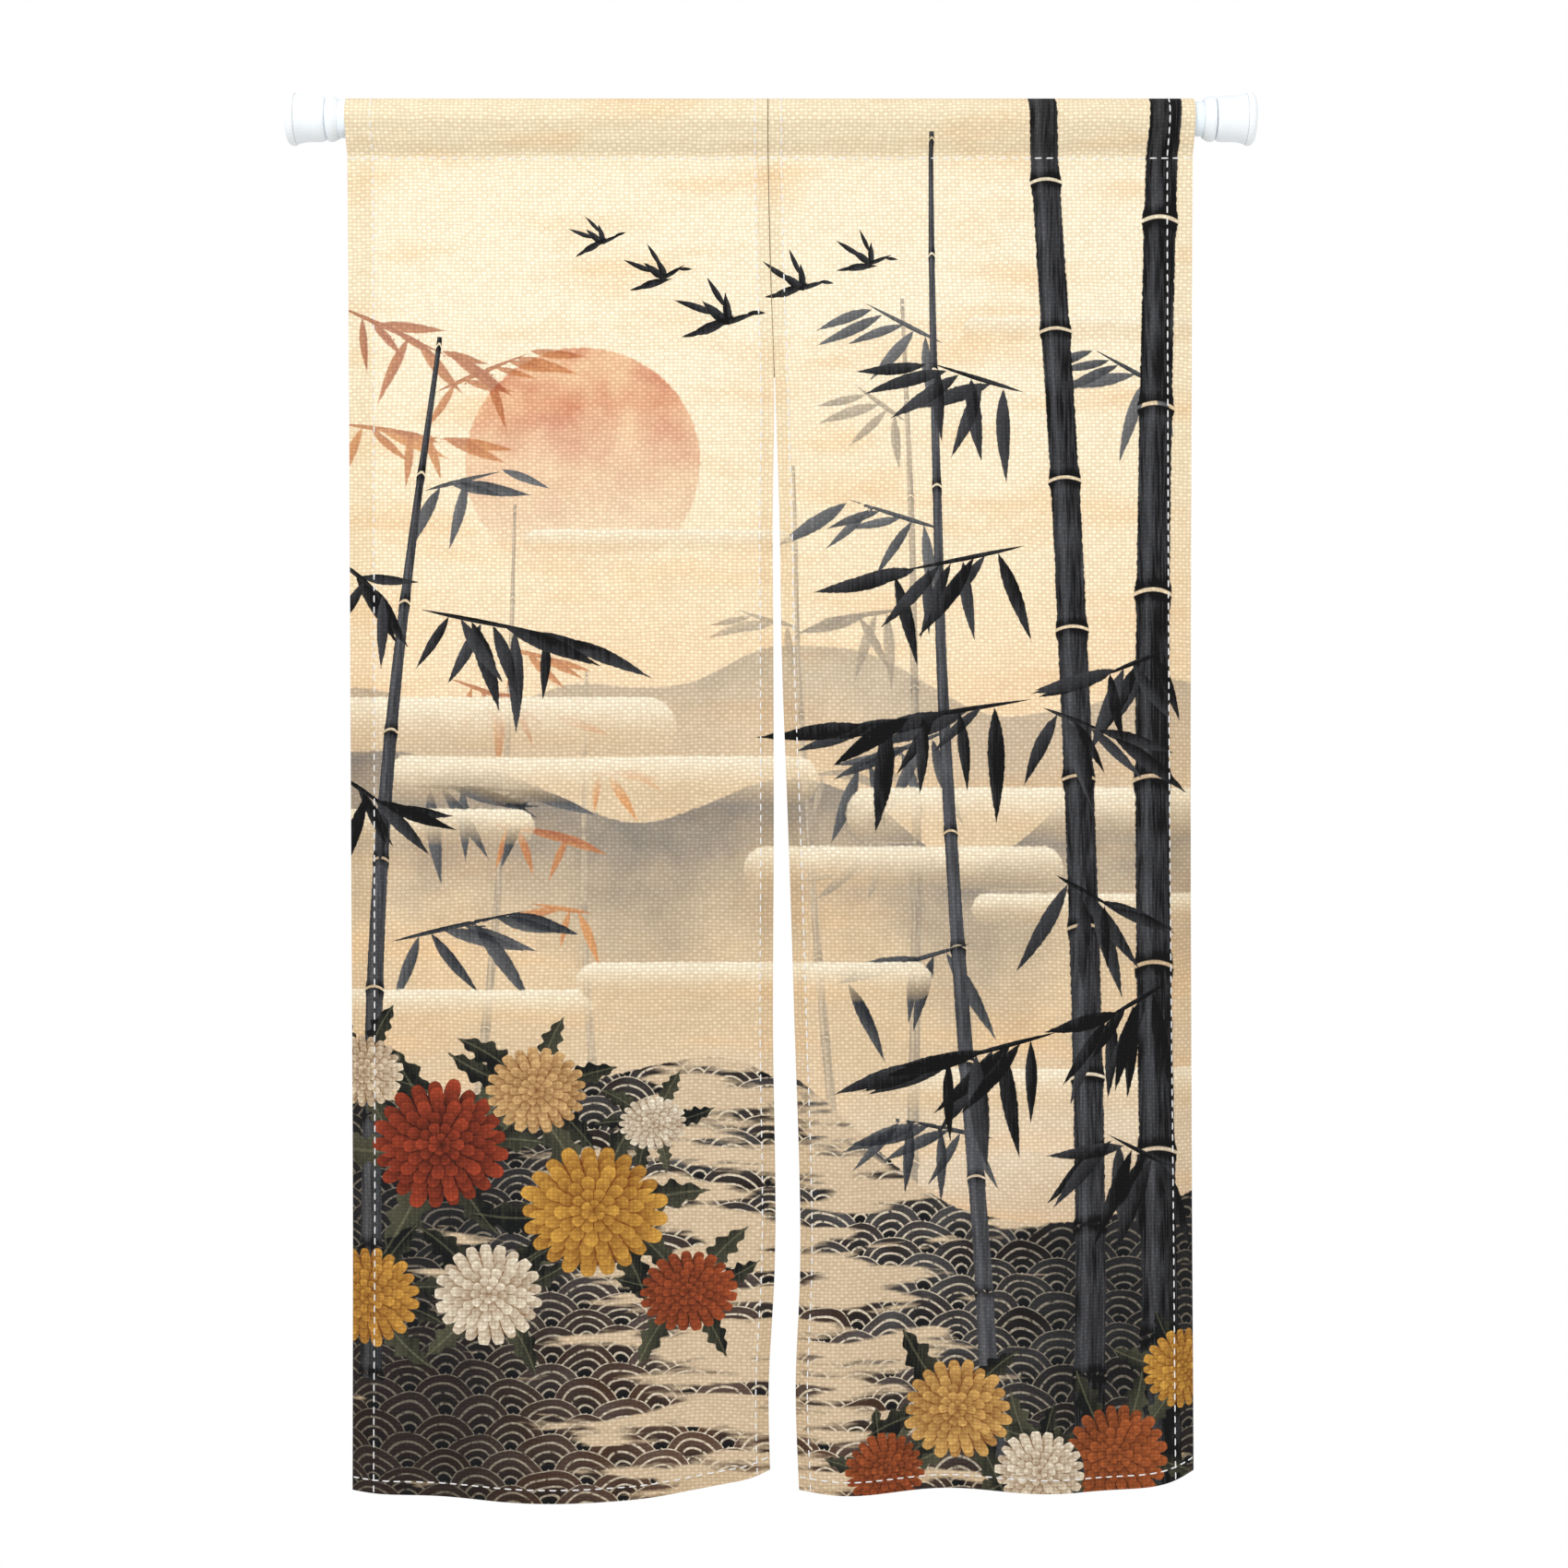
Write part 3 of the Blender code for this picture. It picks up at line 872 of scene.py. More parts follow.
def makeBrushGroup(name, lobed):
    # three copies of brush-drawn leaves, from each stroke's own coordinates; lobed ones show a rib
    tree, given, result, _ = newGroup(name, {
        **strokeInputs, "Under": colour, "Bend": arrow, "Dark": colour, "Light": colour,
        "Sharpness": brush["sharpness"], "Opacity": 1.0, "Mottle": brush["mottle"],
    }, {"Color": colour})
    along = given["Run"].held()
    half = along * (1.0 - along) * along.timesPlus(brush["taper"], brush["swell"])
    if lobed:
        half = ((along * brush["lobes"]).run("SINE") * brush["lobeDepth"]).timesPlus(half, half)
    across = given["Off"] - along * along * given["Bend"]
    fromRib = abs(across)
    rough = given["Edge Noise"].timesPlus(brush["rough"], brush["inset"])
    shown = shownParts(given, fromRib - half + rough)
    total = shown.run("DOT_PRODUCT", 1.0)
    tones = across.timesPlus(brush["shadeAcross"], given["Tone"])
    light = shown.run("DOT_PRODUCT", tones) / total.most(0.01)
    light = given["Wash Noise"].timesPlus(given["Mottle"], light)
    light = given["Hair Noise"].timesPlus(brush["hairs"], light)
    light = (total - 1.0).most(0.0).timesPlus(brush["overlap"], light)
    if lobed:
        rib = fromRib.timesPlus(brush["ribFall"], 1.0).most(0.0)
        light = rib.run("DOT_PRODUCT", shown).timesPlus(brush["ribLight"], light)
    ink = mixColour(light, given["Dark"], given["Light"])
    feed(result, {"Color": mixColour(total.least(1.0) * given["Opacity"], given["Under"], ink)})
    return tree


def makeStemGroup():
    # jointed bamboo stems: a pale line and dark bands at each joint, a long highlight, streaks
    inputs = {**strokeInputs, "Sharpness": stem["sharpness"]}
    tree, given, result, _ = newGroup("bambooStem", inputs, {"Shown": arrow, "Light": arrow})
    fromMiddle = abs(given["Off"])
    joints = (fromMiddle * fromMiddle).timesPlus(stem["jointCurve"], given["Run"])
    toJoint = 0.5 - abs(joints.run("FRACTION") - 0.5)
    flare = toJoint.timesPlus(*stem["flare"]).most(0.0)
    edge = fromMiddle - flare + given["Edge Noise"].timesPlus(stem["rough"], -stem["halfWidth"])
    gap = toJoint.timesPlus(*stem["gap"]).held()
    shown = shownParts(given, edge) * gap.timesPlus(stem["gapDepth"], 1.0)
    shine = abs(given["Off"] + stem["shineAt"]).timesPlus(stem["shineFall"], 1.0).most(0.0)
    band = toJoint.timesPlus(*stem["band"]).most(0.0)
    light = shine.timesPlus(stem["shine"], given["Tone"])
    light = luckOf(joints.run("FLOOR")).timesPlus(stem["luck"], light)
    light = band.timesPlus(stem["bandDepth"], light)
    streaks = given["Hair Noise"].timesPlus(stem["hairs"], given["Wash Noise"] * stem["wash"])
    feed(result, {"Shown": shown, "Light": light + streaks})
    return tree


# a flower's rings of petals, three to a row, the inner ones on top
flowerRings = table(
    "petals outer inner shift",
    ((21, 19, 17), (1.0, 0.86, 0.70), (0.74, 0.58, 0.42), (20.0, 20.4, 20.8)),
    ((13, 10, 6), (0.53, 0.35, 0.18), (0.28, 0.12, 0.0), (20.1, 20.5, 20.9)),
)
flower = {
    "hold": (0.45, 0.6), "reach": 0.95, "rough": 0.03, "innerEase": 0.92, "outerEase": 0.98,
    "tip": (0.08, 0.92), "rounding": -1.6, "sharpness": 70.0, "rim": (-50.0, 1.1), "between": (14.0, -6.0),
    "outline": -0.6, "rise": 0.72, "luck": 0.26, "hairs": 0.35,
}
# petal colours by the flower's tone
petalDark = ((0.0, (46, 14, 12)), (0.5, (120, 66, 20)), (1.0, (138, 106, 70)))
petalLight = ((0.0, (166, 60, 40)), (0.5, (222, 170, 76)), (1.0, (250, 242, 222)))


def makeBloomGroup():
    # a many-petalled round flower
    tree, given, result, _ = newGroup("roundFlower", {**strokeInputs, "Under": colour}, {"Color": colour})
    copies = list(zip(*(given[name].parts() for name in ("Run", "Off", "Tone", "Hold"))))
    flat, held = combine(*copies[0][:3]), copies[0][3]
    level = (1.0, 1.0, 0.0)
    for copy in copies[1:]:
        other = combine(*copy[:3])
        reached = (other * level).run("LENGTH").run("LESS_THAN", flower["reach"])
        over = reached * copy[3].ramp(*flower["hold"])
        flat = addNode(tree, "ShaderNodeMix", {0: over, 4: flat, 5: other}, data_type="VECTOR").output(1)
        held = mixValue(over, held, copy[3])
    across, down, tone = flat.parts()
    radius = given["Edge Noise"].timesPlus(flower["rough"], (flat * level).run("LENGTH"))
    turn = down.run("ARCTAN2", across) / (2 * math.pi)
    shade = covered = None
    for rings in flowerRings:
        outer, inner = np.array(rings["outer"]), np.array(rings["inner"]) * flower["innerEase"]
        slope = 1 / (outer * flower["outerEase"] - inner)
        phase = turn.timesPlus(rings["petals"], rings["shift"])
        side = abs(phase.run("FRACTION") - 0.5)
        luck = luckOf(phase.run("FLOOR") % rings["petals"] + tone * 31.0)
        rounded = side * side * side * flower["rounding"]
        depth = (luck.timesPlus(*flower["tip"]) + rounded) * tuple(outer) - radius
        inside = (depth * flower["sharpness"]).held().parts()
        rise = radius.timesPlus(tuple(slope), tuple(-inner * slope))
        outline = depth.timesPlus(*flower["rim"]).most(side.timesPlus(*flower["between"])).held()
        petals = rise.timesPlus(flower["rise"], luck * flower["luck"])
        lights = outline.timesPlus(flower["outline"], petals).parts()
        if shade is None:
            shade, covered = lights.pop(0), inside.pop(0)
        for light, share in zip(lights, inside):
            shade = mixValue(share, shade, light)
    shade = given["Hair Noise"].timesPlus(flower["hairs"], shade)
    petal = mixColour(shade, colourRamp(tone, petalDark), colourRamp(tone, petalLight))
    shown = covered * held.ramp(*flower["hold"])
    feed(result, {"Color": mixColour(shown, given["Under"], petal)})
    return tree


scaleLook = {"radius": 0.036, "rings": 4.0, "wander": 14.0, "wanderBy": (0.02, 0.02, 0.0)}


def makeScaleGroup():
    # overlapping wave scales: rows of circles, the lower rows in front, three rows to a vector
    tree, given, result, _ = newGroup(
        "waveScales", {"Place": arrow, "Radius": scaleLook["radius"], "Rings": scaleLook["rings"]},
        {"Ring": decimal, "Depth": decimal, "Chance": decimal},
    )
    wander = noiseAt(given["Place"], scaleLook["wander"], 1.0).output("Color")
    wander = wander.timesPlus(scaleLook["wanderBy"], given["Place"])
    across, down, _ = (wander / given["Radius"]).parts()
    rows = (down * 2.0).run("FLOOR") + (0.0, 1.0, 2.0)
    shifted = across + abs(rows % 2.0)
    columns = shifted.timesPlus(0.5, 0.5).run("FLOOR")
    off = columns.timesPlus(-2.0, shifted)
    offDown = rows * 0.5 - down
    reach = off.timesPlus(off, offDown * offDown).parts()
    numbers = luckOf(rows.timesPlus(37.0, columns)).parts()
    chosen, chance = reach[0], numbers[0]
    for nearer, number in zip(reach[1:], numbers[1:]):
        isInside = nearer.run("LESS_THAN", 1.0)
        chosen = mixValue(isInside, chosen, nearer)
        chance = mixValue(isInside, chance, number)
    depth = chosen.run("SQRT")
    ring = abs(depth.timesPlus(given["Rings"], 0.5).run("FRACT") - 0.5)
    feed(result, {"Ring": ring, "Depth": depth, "Chance": chance})
    return tree


print("scene: making node groups")
weaveGroup = makeWeaveGroup()
brushGroup = makeBrushGroup("brushLeaf", False)
lobedGroup = makeBrushGroup("lobedLeaf", True)
stemGroup = makeStemGroup()
bloomGroup = makeBloomGroup()
scaleGroup = makeScaleGroup()


# Cloth material: the picture, then the weave with painted highlight and shade on its threads, the hems with
# a painted shadow below the pocket, and the paler back; sizes in metres

inkColours = {
    "charcoal": linear(9, 9, 11), "charcoalLight": linear(94, 96, 101),
    "slate": linear(38, 42, 48), "slateLight": linear(132, 133, 134),
    "far": linear(128, 122, 114), "farLight": linear(206, 190, 164),
    "rust": linear(164, 78, 44), "rustLight": linear(226, 158, 94),
    "green": linear(16, 19, 18), "greenLight": linear(104, 104, 82),
    "cream": linear(253, 243, 218), "tan": linear(228, 202, 162), "peach": linear(244, 202, 150),
    "disc": linear(204, 112, 76), "discPale": linear(242, 196, 152), "hill": linear(92, 98, 106),
    "waterDark": linear(14, 16, 20), "waterMid": linear(84, 88, 92), "waterLine": linear(238, 226, 202),
    "brown": linear(112, 78, 54), "streak": linear(222, 200, 168), "back": linear(240, 232, 214),
    # hem deepens the doubled cloth and also gives the painted shadow below the pocket
    "hem": linear(247, 244, 239), "threadGapShade": (0.67, 0.62, 0.56, 1.0), "threadTopHighlight": (1.1, 1.11, 1.14, 1.0),
}
# a pair of numbers below is where an effect is nothing and where it is full
ground = {"sway": 0.3, "stretch": (2.6, 9.0, 1.0), "bands": 2.0, "peach": (0.0, 0.2), "peachMost": 0.5}
sun = {
    "at": (0.236, 0.372, 0.0), "radius": 0.118, "strength": 0.84, "rough": 0.004, "soft": 0.001,
    "fadeBelow": 0.12, "fullAbove": 0.06, "mottle": (-0.2, 0.2),
}
hillWash = {
    "stretch": (3.4, 0.0, 0.0), "rough": 0.004, "edge": (-0.001, 0.001), "wash": 0.12,
    "fade": (0.2, -0.02),
}
water = {
    "luck": 0.35, "tones": (-0.1, 0.5), "brown": (150.0, 420.0), "brownMore": 0.55, "brownLeast": 0.12,
    "rim": (0.75, 0.1), "line": (0.15, 0.09), "dry": (-0.2, -0.02), "lineMost": 0.85,
    "streaks": (3.0, 17.0, 1.0), "streakScale": 2.2, "streakDetail": 4.0,
    "middle": 0.42, "sides": (0.1, 0.3), "sidesMost": 0.78,
    "open": (0.3, 0.06), "openMore": 0.2, "openShift": 0.03, "openEdge": (0.12, 0.18), "openMost": 0.94,
    "rough": 5.0, "edge": (-0.8, 0.8),
}
mist = {
    "rough": 4.0, "edge": (0.9, -0.9), "wash": 1.4, "fade": (1.1, -0.5), "most": 0.95, "tan": (-1.0, 0.6),
}
# noise scales of the ink's edge, its clouds, its slow sway and its hairs; where far leaves turn rusty
inking = {
    "edge": 190.0, "cloudy": 20.0, "slow": 4.2, "hairs": (460.0, 24.0, 1.0), "rusty": (0.38, 0.34),
    "farStems": 0.75, "far": {"Sharpness": 4.0, "Opacity": 0.8}, "mid": {"Sharpness": 8.0},
}
hills = table("height roll shift strength", (0.6, 0.26, 0.0, 0.45), (0.72, 0.3, 5.3, 0.8))

# the paper's colours, from the top of the cloth down to its end
groundStops = (
    (0.0, (251, 238, 208)), (0.16, (253, 241, 212)), (0.32, (251, 234, 200)), (0.46, (248, 222, 184)),
    (0.56, (240, 216, 178)), (0.66, (226, 202, 166)), (0.78, (232, 214, 186)), (0.9, (196, 162, 126)),
    (1.0, (222, 204, 176)),
)


def attributeOf(tree, name):
    return addNode(tree, "ShaderNodeAttribute", attribute_name=name).output("Vector")


def paintedGround(spot):
    # cream paper with tan and peach washes that deepen downwards, and a pale sun
    down = spot["slow"].timesPlus(ground["sway"], spot["y"]) / (cloth["panelDrop"] * mm)
    bands = noise(spot["place"] * ground["stretch"], ground["bands"], 3.0)
    peach = bands.ramp(*ground["peach"]) * ground["peachMost"]
    paper = mixColour(peach, colourRamp(down, groundStops), inkColours["peach"])
    edge = spot["edge"].timesPlus(sun["rough"], spot["place"].run("DISTANCE", sun["at"]))
    inside = edge.ramp(sun["radius"] + sun["soft"], sun["radius"] - sun["soft"])
    fadeLow = spot["y"].ramp(sun["at"][1] + sun["fadeBelow"], sun["at"][1] - sun["fullAbove"])
    tint = mixColour(spot["cloudy"].ramp(*sun["mottle"]), inkColours["disc"], inkColours["discPale"])
    return mixColour(inside * fadeLow * sun["strength"], paper, tint)


def washedHills(under, spot):
    # rolling hills in grey wash that dissolve downwards
    for hill in hills:
        shift = (hill["shift"], hill["shift"], 0.0)
        line = noise(spot["place"].timesPlus(hillWash["stretch"], shift), 1.0, 1.0)
        below = line.timesPlus(hill["roll"], spot["y"]) - hill["height"]
        edge = spot["edge"].timesPlus(hillWash["rough"], below).ramp(*hillWash["edge"])
        fade = spot["cloudy"].timesPlus(hillWash["wash"], below).ramp(*hillWash["fade"])
        under = mixColour(edge * fade * hill["strength"], under, inkColours["hill"])
    return under


def paintedWater(under, spot, below):
    # dark wave scales with light lines, brown lower down, and open streaks towards the middle
    scales = useGroup(scaleGroup, {"Place": spot["place"]})
    tone = scales.output("Chance").timesPlus(water["luck"], spot["cloudy"]).ramp(*water["tones"])
    fill = mixColour(tone, inkColours["waterDark"], inkColours["waterMid"])
    line = scales.output("Ring").ramp(*water["line"]) * spot["edge"].ramp(*water["dry"])
    streaks = noise(spot["place"] * water["streaks"], water["streakScale"], water["streakDetail"])
    fromMiddle = abs(spot["x"] - water["middle"])
    openness = fromMiddle.ramp(*water["open"]).timesPlus(water["openMore"], streaks) - water["openShift"]
    for share, tint in (
        (below.ramp(*water["brown"]).timesPlus(water["brownMore"], water["brownLeast"]), "brown"),
        (scales.output("Depth").ramp(*water["rim"]), "waterDark"),
        (line * water["lineMost"], "waterLine"),
        (fromMiddle.ramp(*water["sides"]) * water["sidesMost"], "waterDark"),
        (openness.ramp(*water["openEdge"]) * water["openMost"], "streak"),
    ):
        fill = mixColour(share, fill, inkColours[tint])
    return mixColour(spot["edge"].timesPlus(water["rough"], below).ramp(*water["edge"]), under, fill)


def paintedMist(under, spot, fromBand, height):
    # bands of mist with a clear top edge that dissolve downwards
    body = spot["edge"].timesPlus(mist["rough"], fromBand).ramp(*mist["edge"])
    dissolve = spot["cloudy"].timesPlus(mist["wash"], height).ramp(*mist["fade"])
    tint = mixColour(height.ramp(*mist["tan"]), inkColours["cream"], inkColours["tan"])
    return mixColour(body * (dissolve * mist["most"]), under, tint)


def strokesOf(name, spot):
    tree = spot["place"].socket.id_data
    inputs = {part: attributeOf(tree, name + part) for part in ("Run", "Off", "Tone", "Hold")}
    return {**inputs, "Edge Noise": spot["edge"], "Wash Noise": spot["cloudy"], "Hair Noise": spot["hair"]}


def brushed(under, ink, group, spot, dark, light, more=None):
    bend = tuple(picture["bend"] * sign for sign in picture["bendSigns"])
    values = {"Bend": bend, "Dark": dark, "Light": light, **(more or {})}
    for index in range(picture["inks"][ink] // 3):
        under = useGroup(group, {"Under": under, **strokesOf(f"{ink}{index}", spot), **values})
    return under


def paintedPicture(tree, place, x, y):
    # from the paper up to the flowers in front
    fromBand, height, below = attributeOf(tree, "bands").parts()
    spot = {
        "place": place, "x": x, "y": y,
        "edge": noise(place, inking["edge"]),
        "cloudy": noise(place, inking["cloudy"], 3.0),
        "slow": noise(place, inking["slow"]),
        "hair": noise(place * inking["hairs"], 1.0, 1.0),
    }
    colours = inkColours
    stems = useGroup(stemGroup, strokesOf("stem0", spot))
    stemShown, stemLight = stems.output("Shown").parts(), stems.output("Light").parts()
    art = washedHills(paintedGround(spot), spot)
    rusty = x.ramp(*inking["rusty"])
    farDark = mixColour(rusty, colours["far"], colours["rust"])
    farLight = mixColour(rusty, colours["farLight"], colours["rustLight"])
    farStems = mixColour(stemLight[0], colours["far"], colours["farLight"])
    nearStems = mixColour(stemLight[1], colours["charcoal"], colours["charcoalLight"])
    art = mixColour(stemShown[0] * inking["farStems"], art, farStems)
    art = brushed(art, "far", brushGroup, spot, farDark, farLight, inking["far"])
    art = paintedWater(art, spot, below)
    art = brushed(art, "mid", brushGroup, spot, colours["slate"], colours["slateLight"], inking["mid"])
    art = paintedMist(art, spot, fromBand, height)
    art = mixColour(stemShown[1], art, nearStems)
    art = brushed(art, "near", brushGroup, spot, colours["charcoal"], colours["charcoalLight"])
    art = brushed(art, "green", lobedGroup, spot, colours["green"], colours["greenLight"])
    return useGroup(bloomGroup, {"Under": art, **strokesOf("bloom0", spot)})


stitching = {
    "pitch": 11.5, "dash": 7.8, "thread": 1.5, "sink": 0.9, "lift": 0.15, "seed": 5, "wobble": 0.03,
    "sideHem": 26.0, "slitHem": 13.0, "bottomHem": 13.6,     # from each edge to its stitch line
    "endGap": 5.0,            # from the cloth's sides to the first stitch
    "loopEnds": (1.3, 2.3),   # mesh rows that keep the side stitches inside the bottom edge
    "pocketRow": 0.8,         # mesh rows below the pocket's edge
    "valley": 6.0,            # how wide a stitch line draws the cloth in
    "seamShadowThread": 1.25, "seamSink": 0.5, "seamPitch": 2.5, "seamSwell": 0.25, "ply": 1.2,
    "fuzz": 900.0, "plies": (0.3, 0.6), "roughness": (0.3, 0.62), "sheen": 0.15,
    "relief": 0.4, "reliefDepth": 0.1,
    "dive": 3.5,              # how late in a dash its ends go down
    "taper": (-0.35, 4.0), "points": 9, "sides": 6, "seamSides": 8, "seamRows": (60, 50),
    "threadTint": (247, 246, 245), "threadShade": (222, 221, 221),
    # the seam thread's dark colours are painted shadow of the seam between the panels
    "seamShadowTint": (150, 132, 106), "seamShade": (96, 80, 60),
}

clothLook = {
    "pocketEdge": 3.0,         # the doubled cloth shows this far below the pocket's stitch line
    "softEdge": 0.8,
    # painted shadow below the pocket's stitch line: drops where it is nothing and where it is full, and its
    # strength
    "pocketShade": (78.0, 60.0), "pocketShadeMost": 0.45,
    "paleBack": 0.62, "puckers": 95.0, "dip": (3.0, -0.7), "roughness": (-0.12, 0.88),
    "specular": 0.18, "relief": 0.45, "reliefDepth": 0.6,
    "turnsPale": (0.35, 0.65),     # where round the edge the front's colour gives way to the back's
}


def makeClothMaterial():
    material, shader, tree = newMaterial("printedCloth")
    x, y, back = attributeOf(tree, "place").parts()
    place = combine(x, y)
    art = paintedPicture(tree, place, x, y)

    # doubled cloth along the hems and over the rod reads a little deeper, a painted shadow falls below the
    # pocket, and stitch lines pull a valley
    fromEdges = dict(zip(("sideHem", "slitHem", "bottomHem"), attributeOf(tree, "fromEdges").parts()))
    softEdge = clothLook["softEdge"] * mm
    pocketEdge = (cloth["pocketDrop"] + clothLook["pocketEdge"]) * mm
    # painted shadow below the pocket, fading downwards from the stitch line
    shadeLow, shadeHigh = clothLook["pocketShade"]
    doubledAndShadow = y.ramp(shadeLow * mm, shadeHigh * mm) * clothLook["pocketShadeMost"]
    doubledAndShadow = doubledAndShadow.most(y.ramp(pocketEdge + softEdge, pocketEdge - softEdge))
    valleys = None
    for hem, distance in fromEdges.items():
        width = cloth[hem] * mm
        doubledAndShadow = doubledAndShadow.most(distance.ramp(width + softEdge, width - softEdge))
        valley = abs(distance - stitching[hem] * mm).ramp(stitching["valley"] * mm, 0.0)
        valleys = valleys.most(valley) if valleys else valley
    tinted = mixColour(doubledAndShadow, art, inkColours["hem"], "MULTIPLY")

    weave = useGroup(weaveGroup, {"Place": place})
    weaveHeight = weave.output("Height")
    # painted highlight on the thread tops and painted shade in the holes between threads, set by the weave's
    # height, uneven threads included
    threadShading = mixColour(weave.output("Shade"), inkColours["threadGapShade"], inkColours["threadTopHighlight"])
    woven = mixColour(1.0, tinted, threadShading, "MULTIPLY")
    pale = mixColour(clothLook["paleBack"], woven, inkColours["back"])      # the print shows through
    dip = valleys * noise(place, clothLook["puckers"], 0.0).timesPlus(*clothLook["dip"])
    feed(shader, {
        "Base Color": mixColour(back.ramp(*clothLook["turnsPale"]), woven, pale),
        "Roughness": weaveHeight.timesPlus(*clothLook["roughness"]),
        "Specular IOR Level": clothLook["specular"],
        "Normal": bump(weaveHeight + dip, clothLook["relief"], clothLook["reliefDepth"] * mm),
    })
    return material


# Making the panels

def edgeDistances(panel, shape):
    along, down, bottom, _ = shape["places"]
    fromSide, fromSlit = along, panelWidth(panel) - along
    if panel["lowHem"] == "slitHem":
        fromSide, fromSlit = fromSlit, fromSide
    return np.stack([fromSide, fromSlit, bottom - down], -1) * mm


def makePanel(side, material):
    panel, shape = panels[side], shapes[side]
    along, down, _, back = shape["places"]
    mesh = bpy.data.meshes.new(f"cloth_{side}")
    mesh.from_pydata(shape["points"].tolist(), [], shape["faces"])
    across = along + panel["artStart"]
    addVectors(mesh, "place", np.stack([across * mm, down * mm, back], -1))
    addVectors(mesh, "fromEdges", edgeDistances(panel, shape))
    for name, values in paint(across, down).items():
        addVectors(mesh, name, values)
    mesh.shade_smooth()
    mesh.set_sharp_from_angle(angle=math.radians(cloth["sharpAngle"]))
    return newObject(f"cloth_{side}", mesh, material)


clothMaterial = makeClothMaterial()
clothPieces = {side: makePanel(side, clothMaterial) for side in panels}
print("scene: panels painted")


# Sewing: dashes of white thread along the hems and the pocket, and a thread in the seam whose dark colour is
# painted shadow of the seam

def surfaceSampler(side):
    # reads the cloth's surface at a place along and a place round its outer loop, with its outward normal
    outer = shapes[side]["outer"]
    normals = unit(np.cross(np.gradient(outer, axis=0), np.gradient(outer, axis=1)))
    both = np.concatenate([outer, normals], axis=-1)
    lastColumn, lastRow = outer.shape[0] - 1, outer.shape[1] - 1

    def read(along, rowPlace):
        column = np.clip(along / panelWidth(panels[side]), 0, 1) * lastColumn
        column, row = np.broadcast_arrays(column, np.clip(rowPlace, 0, lastRow))
        left = np.minimum(column.astype(int), lastColumn - 1)
        below = np.minimum(row.astype(int), lastRow - 1)
        s = (column - left)[:, None]
        t = (row - below)[:, None]
        lower = both[left, below] * (1 - s) + both[left + 1, below] * s
        upper = both[left, below + 1] * (1 - s) + both[left + 1, below + 1] * s
        mixed = lower * (1 - t) + upper * t
        return mixed[:, :3], mixed[:, 3:]

    return read


def stitchPaths(side):
    # each line of sewing as points and outward normals
    panel, shape = panels[side], shapes[side]
    width = panelWidth(panel)
    read = surfaceSampler(side)
    columnCount, loop = shape["outer"].shape[:2]
    rows, backStart = shape["rows"], shape["backStart"]
    firstRow, lastRows = stitching["loopEnds"]
    roundLoop = np.linspace(firstRow, loop - lastRows, loop)
    paths = [read(inset, roundLoop) for inset in (
        stitching[panel["lowHem"]], width - stitching[panel["highHem"]],
    )]
    across = np.linspace(stitching["endGap"], width - stitching["endGap"], columnCount)
    hanging = bottomDrop(panel, across / width) - cloth["pocketDrop"]
    fromEnd = stitching["bottomHem"] / hanging
    pocketRow = stitching["pocketRow"]
    for rowPlace in (
        fromEnd * (rows - 1), loop - 1 - fromEnd * (loop - backStart - 1),
        rows - 1 - pocketRow, backStart + pocketRow / cloth["backEvery"],
    ):
        paths.append(read(across, rowPlace))
    return paths


def seamPath():
    # between the panels, from the seam's end up the front, over the pocket and down the back
    sides = []
    hangRows, overRows = stitching["seamRows"]
    for side, along, hemEnd in (("left", panelWidth(panels["left"]), -1), ("right", 0.0, 0)):
        lastRow, backStart = shapes[side]["rows"] - 1, shapes[side]["backStart"]
        backRows = shapes[side]["outer"].shape[1] - backStart
        bottom = panels[side]["hem"][hemEnd][1]
        share = (cloth["seamDrop"] - cloth["pocketDrop"]) / (bottom - cloth["pocketDrop"])
        front = np.linspace(lastRow - share * lastRow, lastRow, hangRows)
        over = np.linspace(lastRow, backStart, overRows)[1:]
        back = np.linspace(backStart, backStart + share * (backRows - 1), hangRows)[1:]
        sides.append(surfaceSampler(side)(along, np.concatenate([front, over, back])))
    return (sides[0][0] + sides[1][0]) / 2, unit(sides[0][1] + sides[1][1])


def pathMesh(name, paths, lift):
    # loose edges through each path's points, with the cloth's outward direction on each
    verts, ups, lines = [], [], []
    for points, normals in paths:
        start = len(verts)
        verts.extend(((points + normals * lift) * mm).tolist())
        ups.extend(normals.tolist())
        lines.extend((start + i, start + i + 1) for i in range(len(points) - 1))
    mesh = bpy.data.meshes.new(name)
    mesh.from_pydata(verts, lines, [])
    addVectors(mesh, "outward", np.array(ups))
    return newObject(name, mesh)


def newShapeTree(name, inputs):
    shapeSocket = "NodeSocketGeometry"
    inputs = {"Geometry": shapeSocket, **inputs, "Material": "NodeSocketMaterial"}
    return newGroup(name, inputs, {"Result": shapeSocket}, "GeometryNodeTree")


def evenCurve(given, pitch):
    path = addLinked("GeometryNodeMeshToCurve", {"Mesh": given["Geometry"]})
    return addLinked("GeometryNodeResampleCurve", {"Curve": path, "Length": pitch}, mode="LENGTH")


def tubeAlong(curve, thread, sides, scale):
    ring = addLinked("GeometryNodeCurvePrimitiveCircle", {"Resolution": sides, "Radius": thread * 0.5})
    inputs = {"Curve": curve, "Profile Curve": ring, "Scale": scale, "Fill Caps": True}
    return addLinked("GeometryNodeCurveToMesh", inputs)


def finishShape(given, result, shape):
    real = addLinked("GeometryNodeRealizeInstances", {"Geometry": shape})
    done = addLinked("GeometryNodeSetMaterial", {"Geometry": real, "Material": given["Material"]})
    feed(result, {"Result": done})


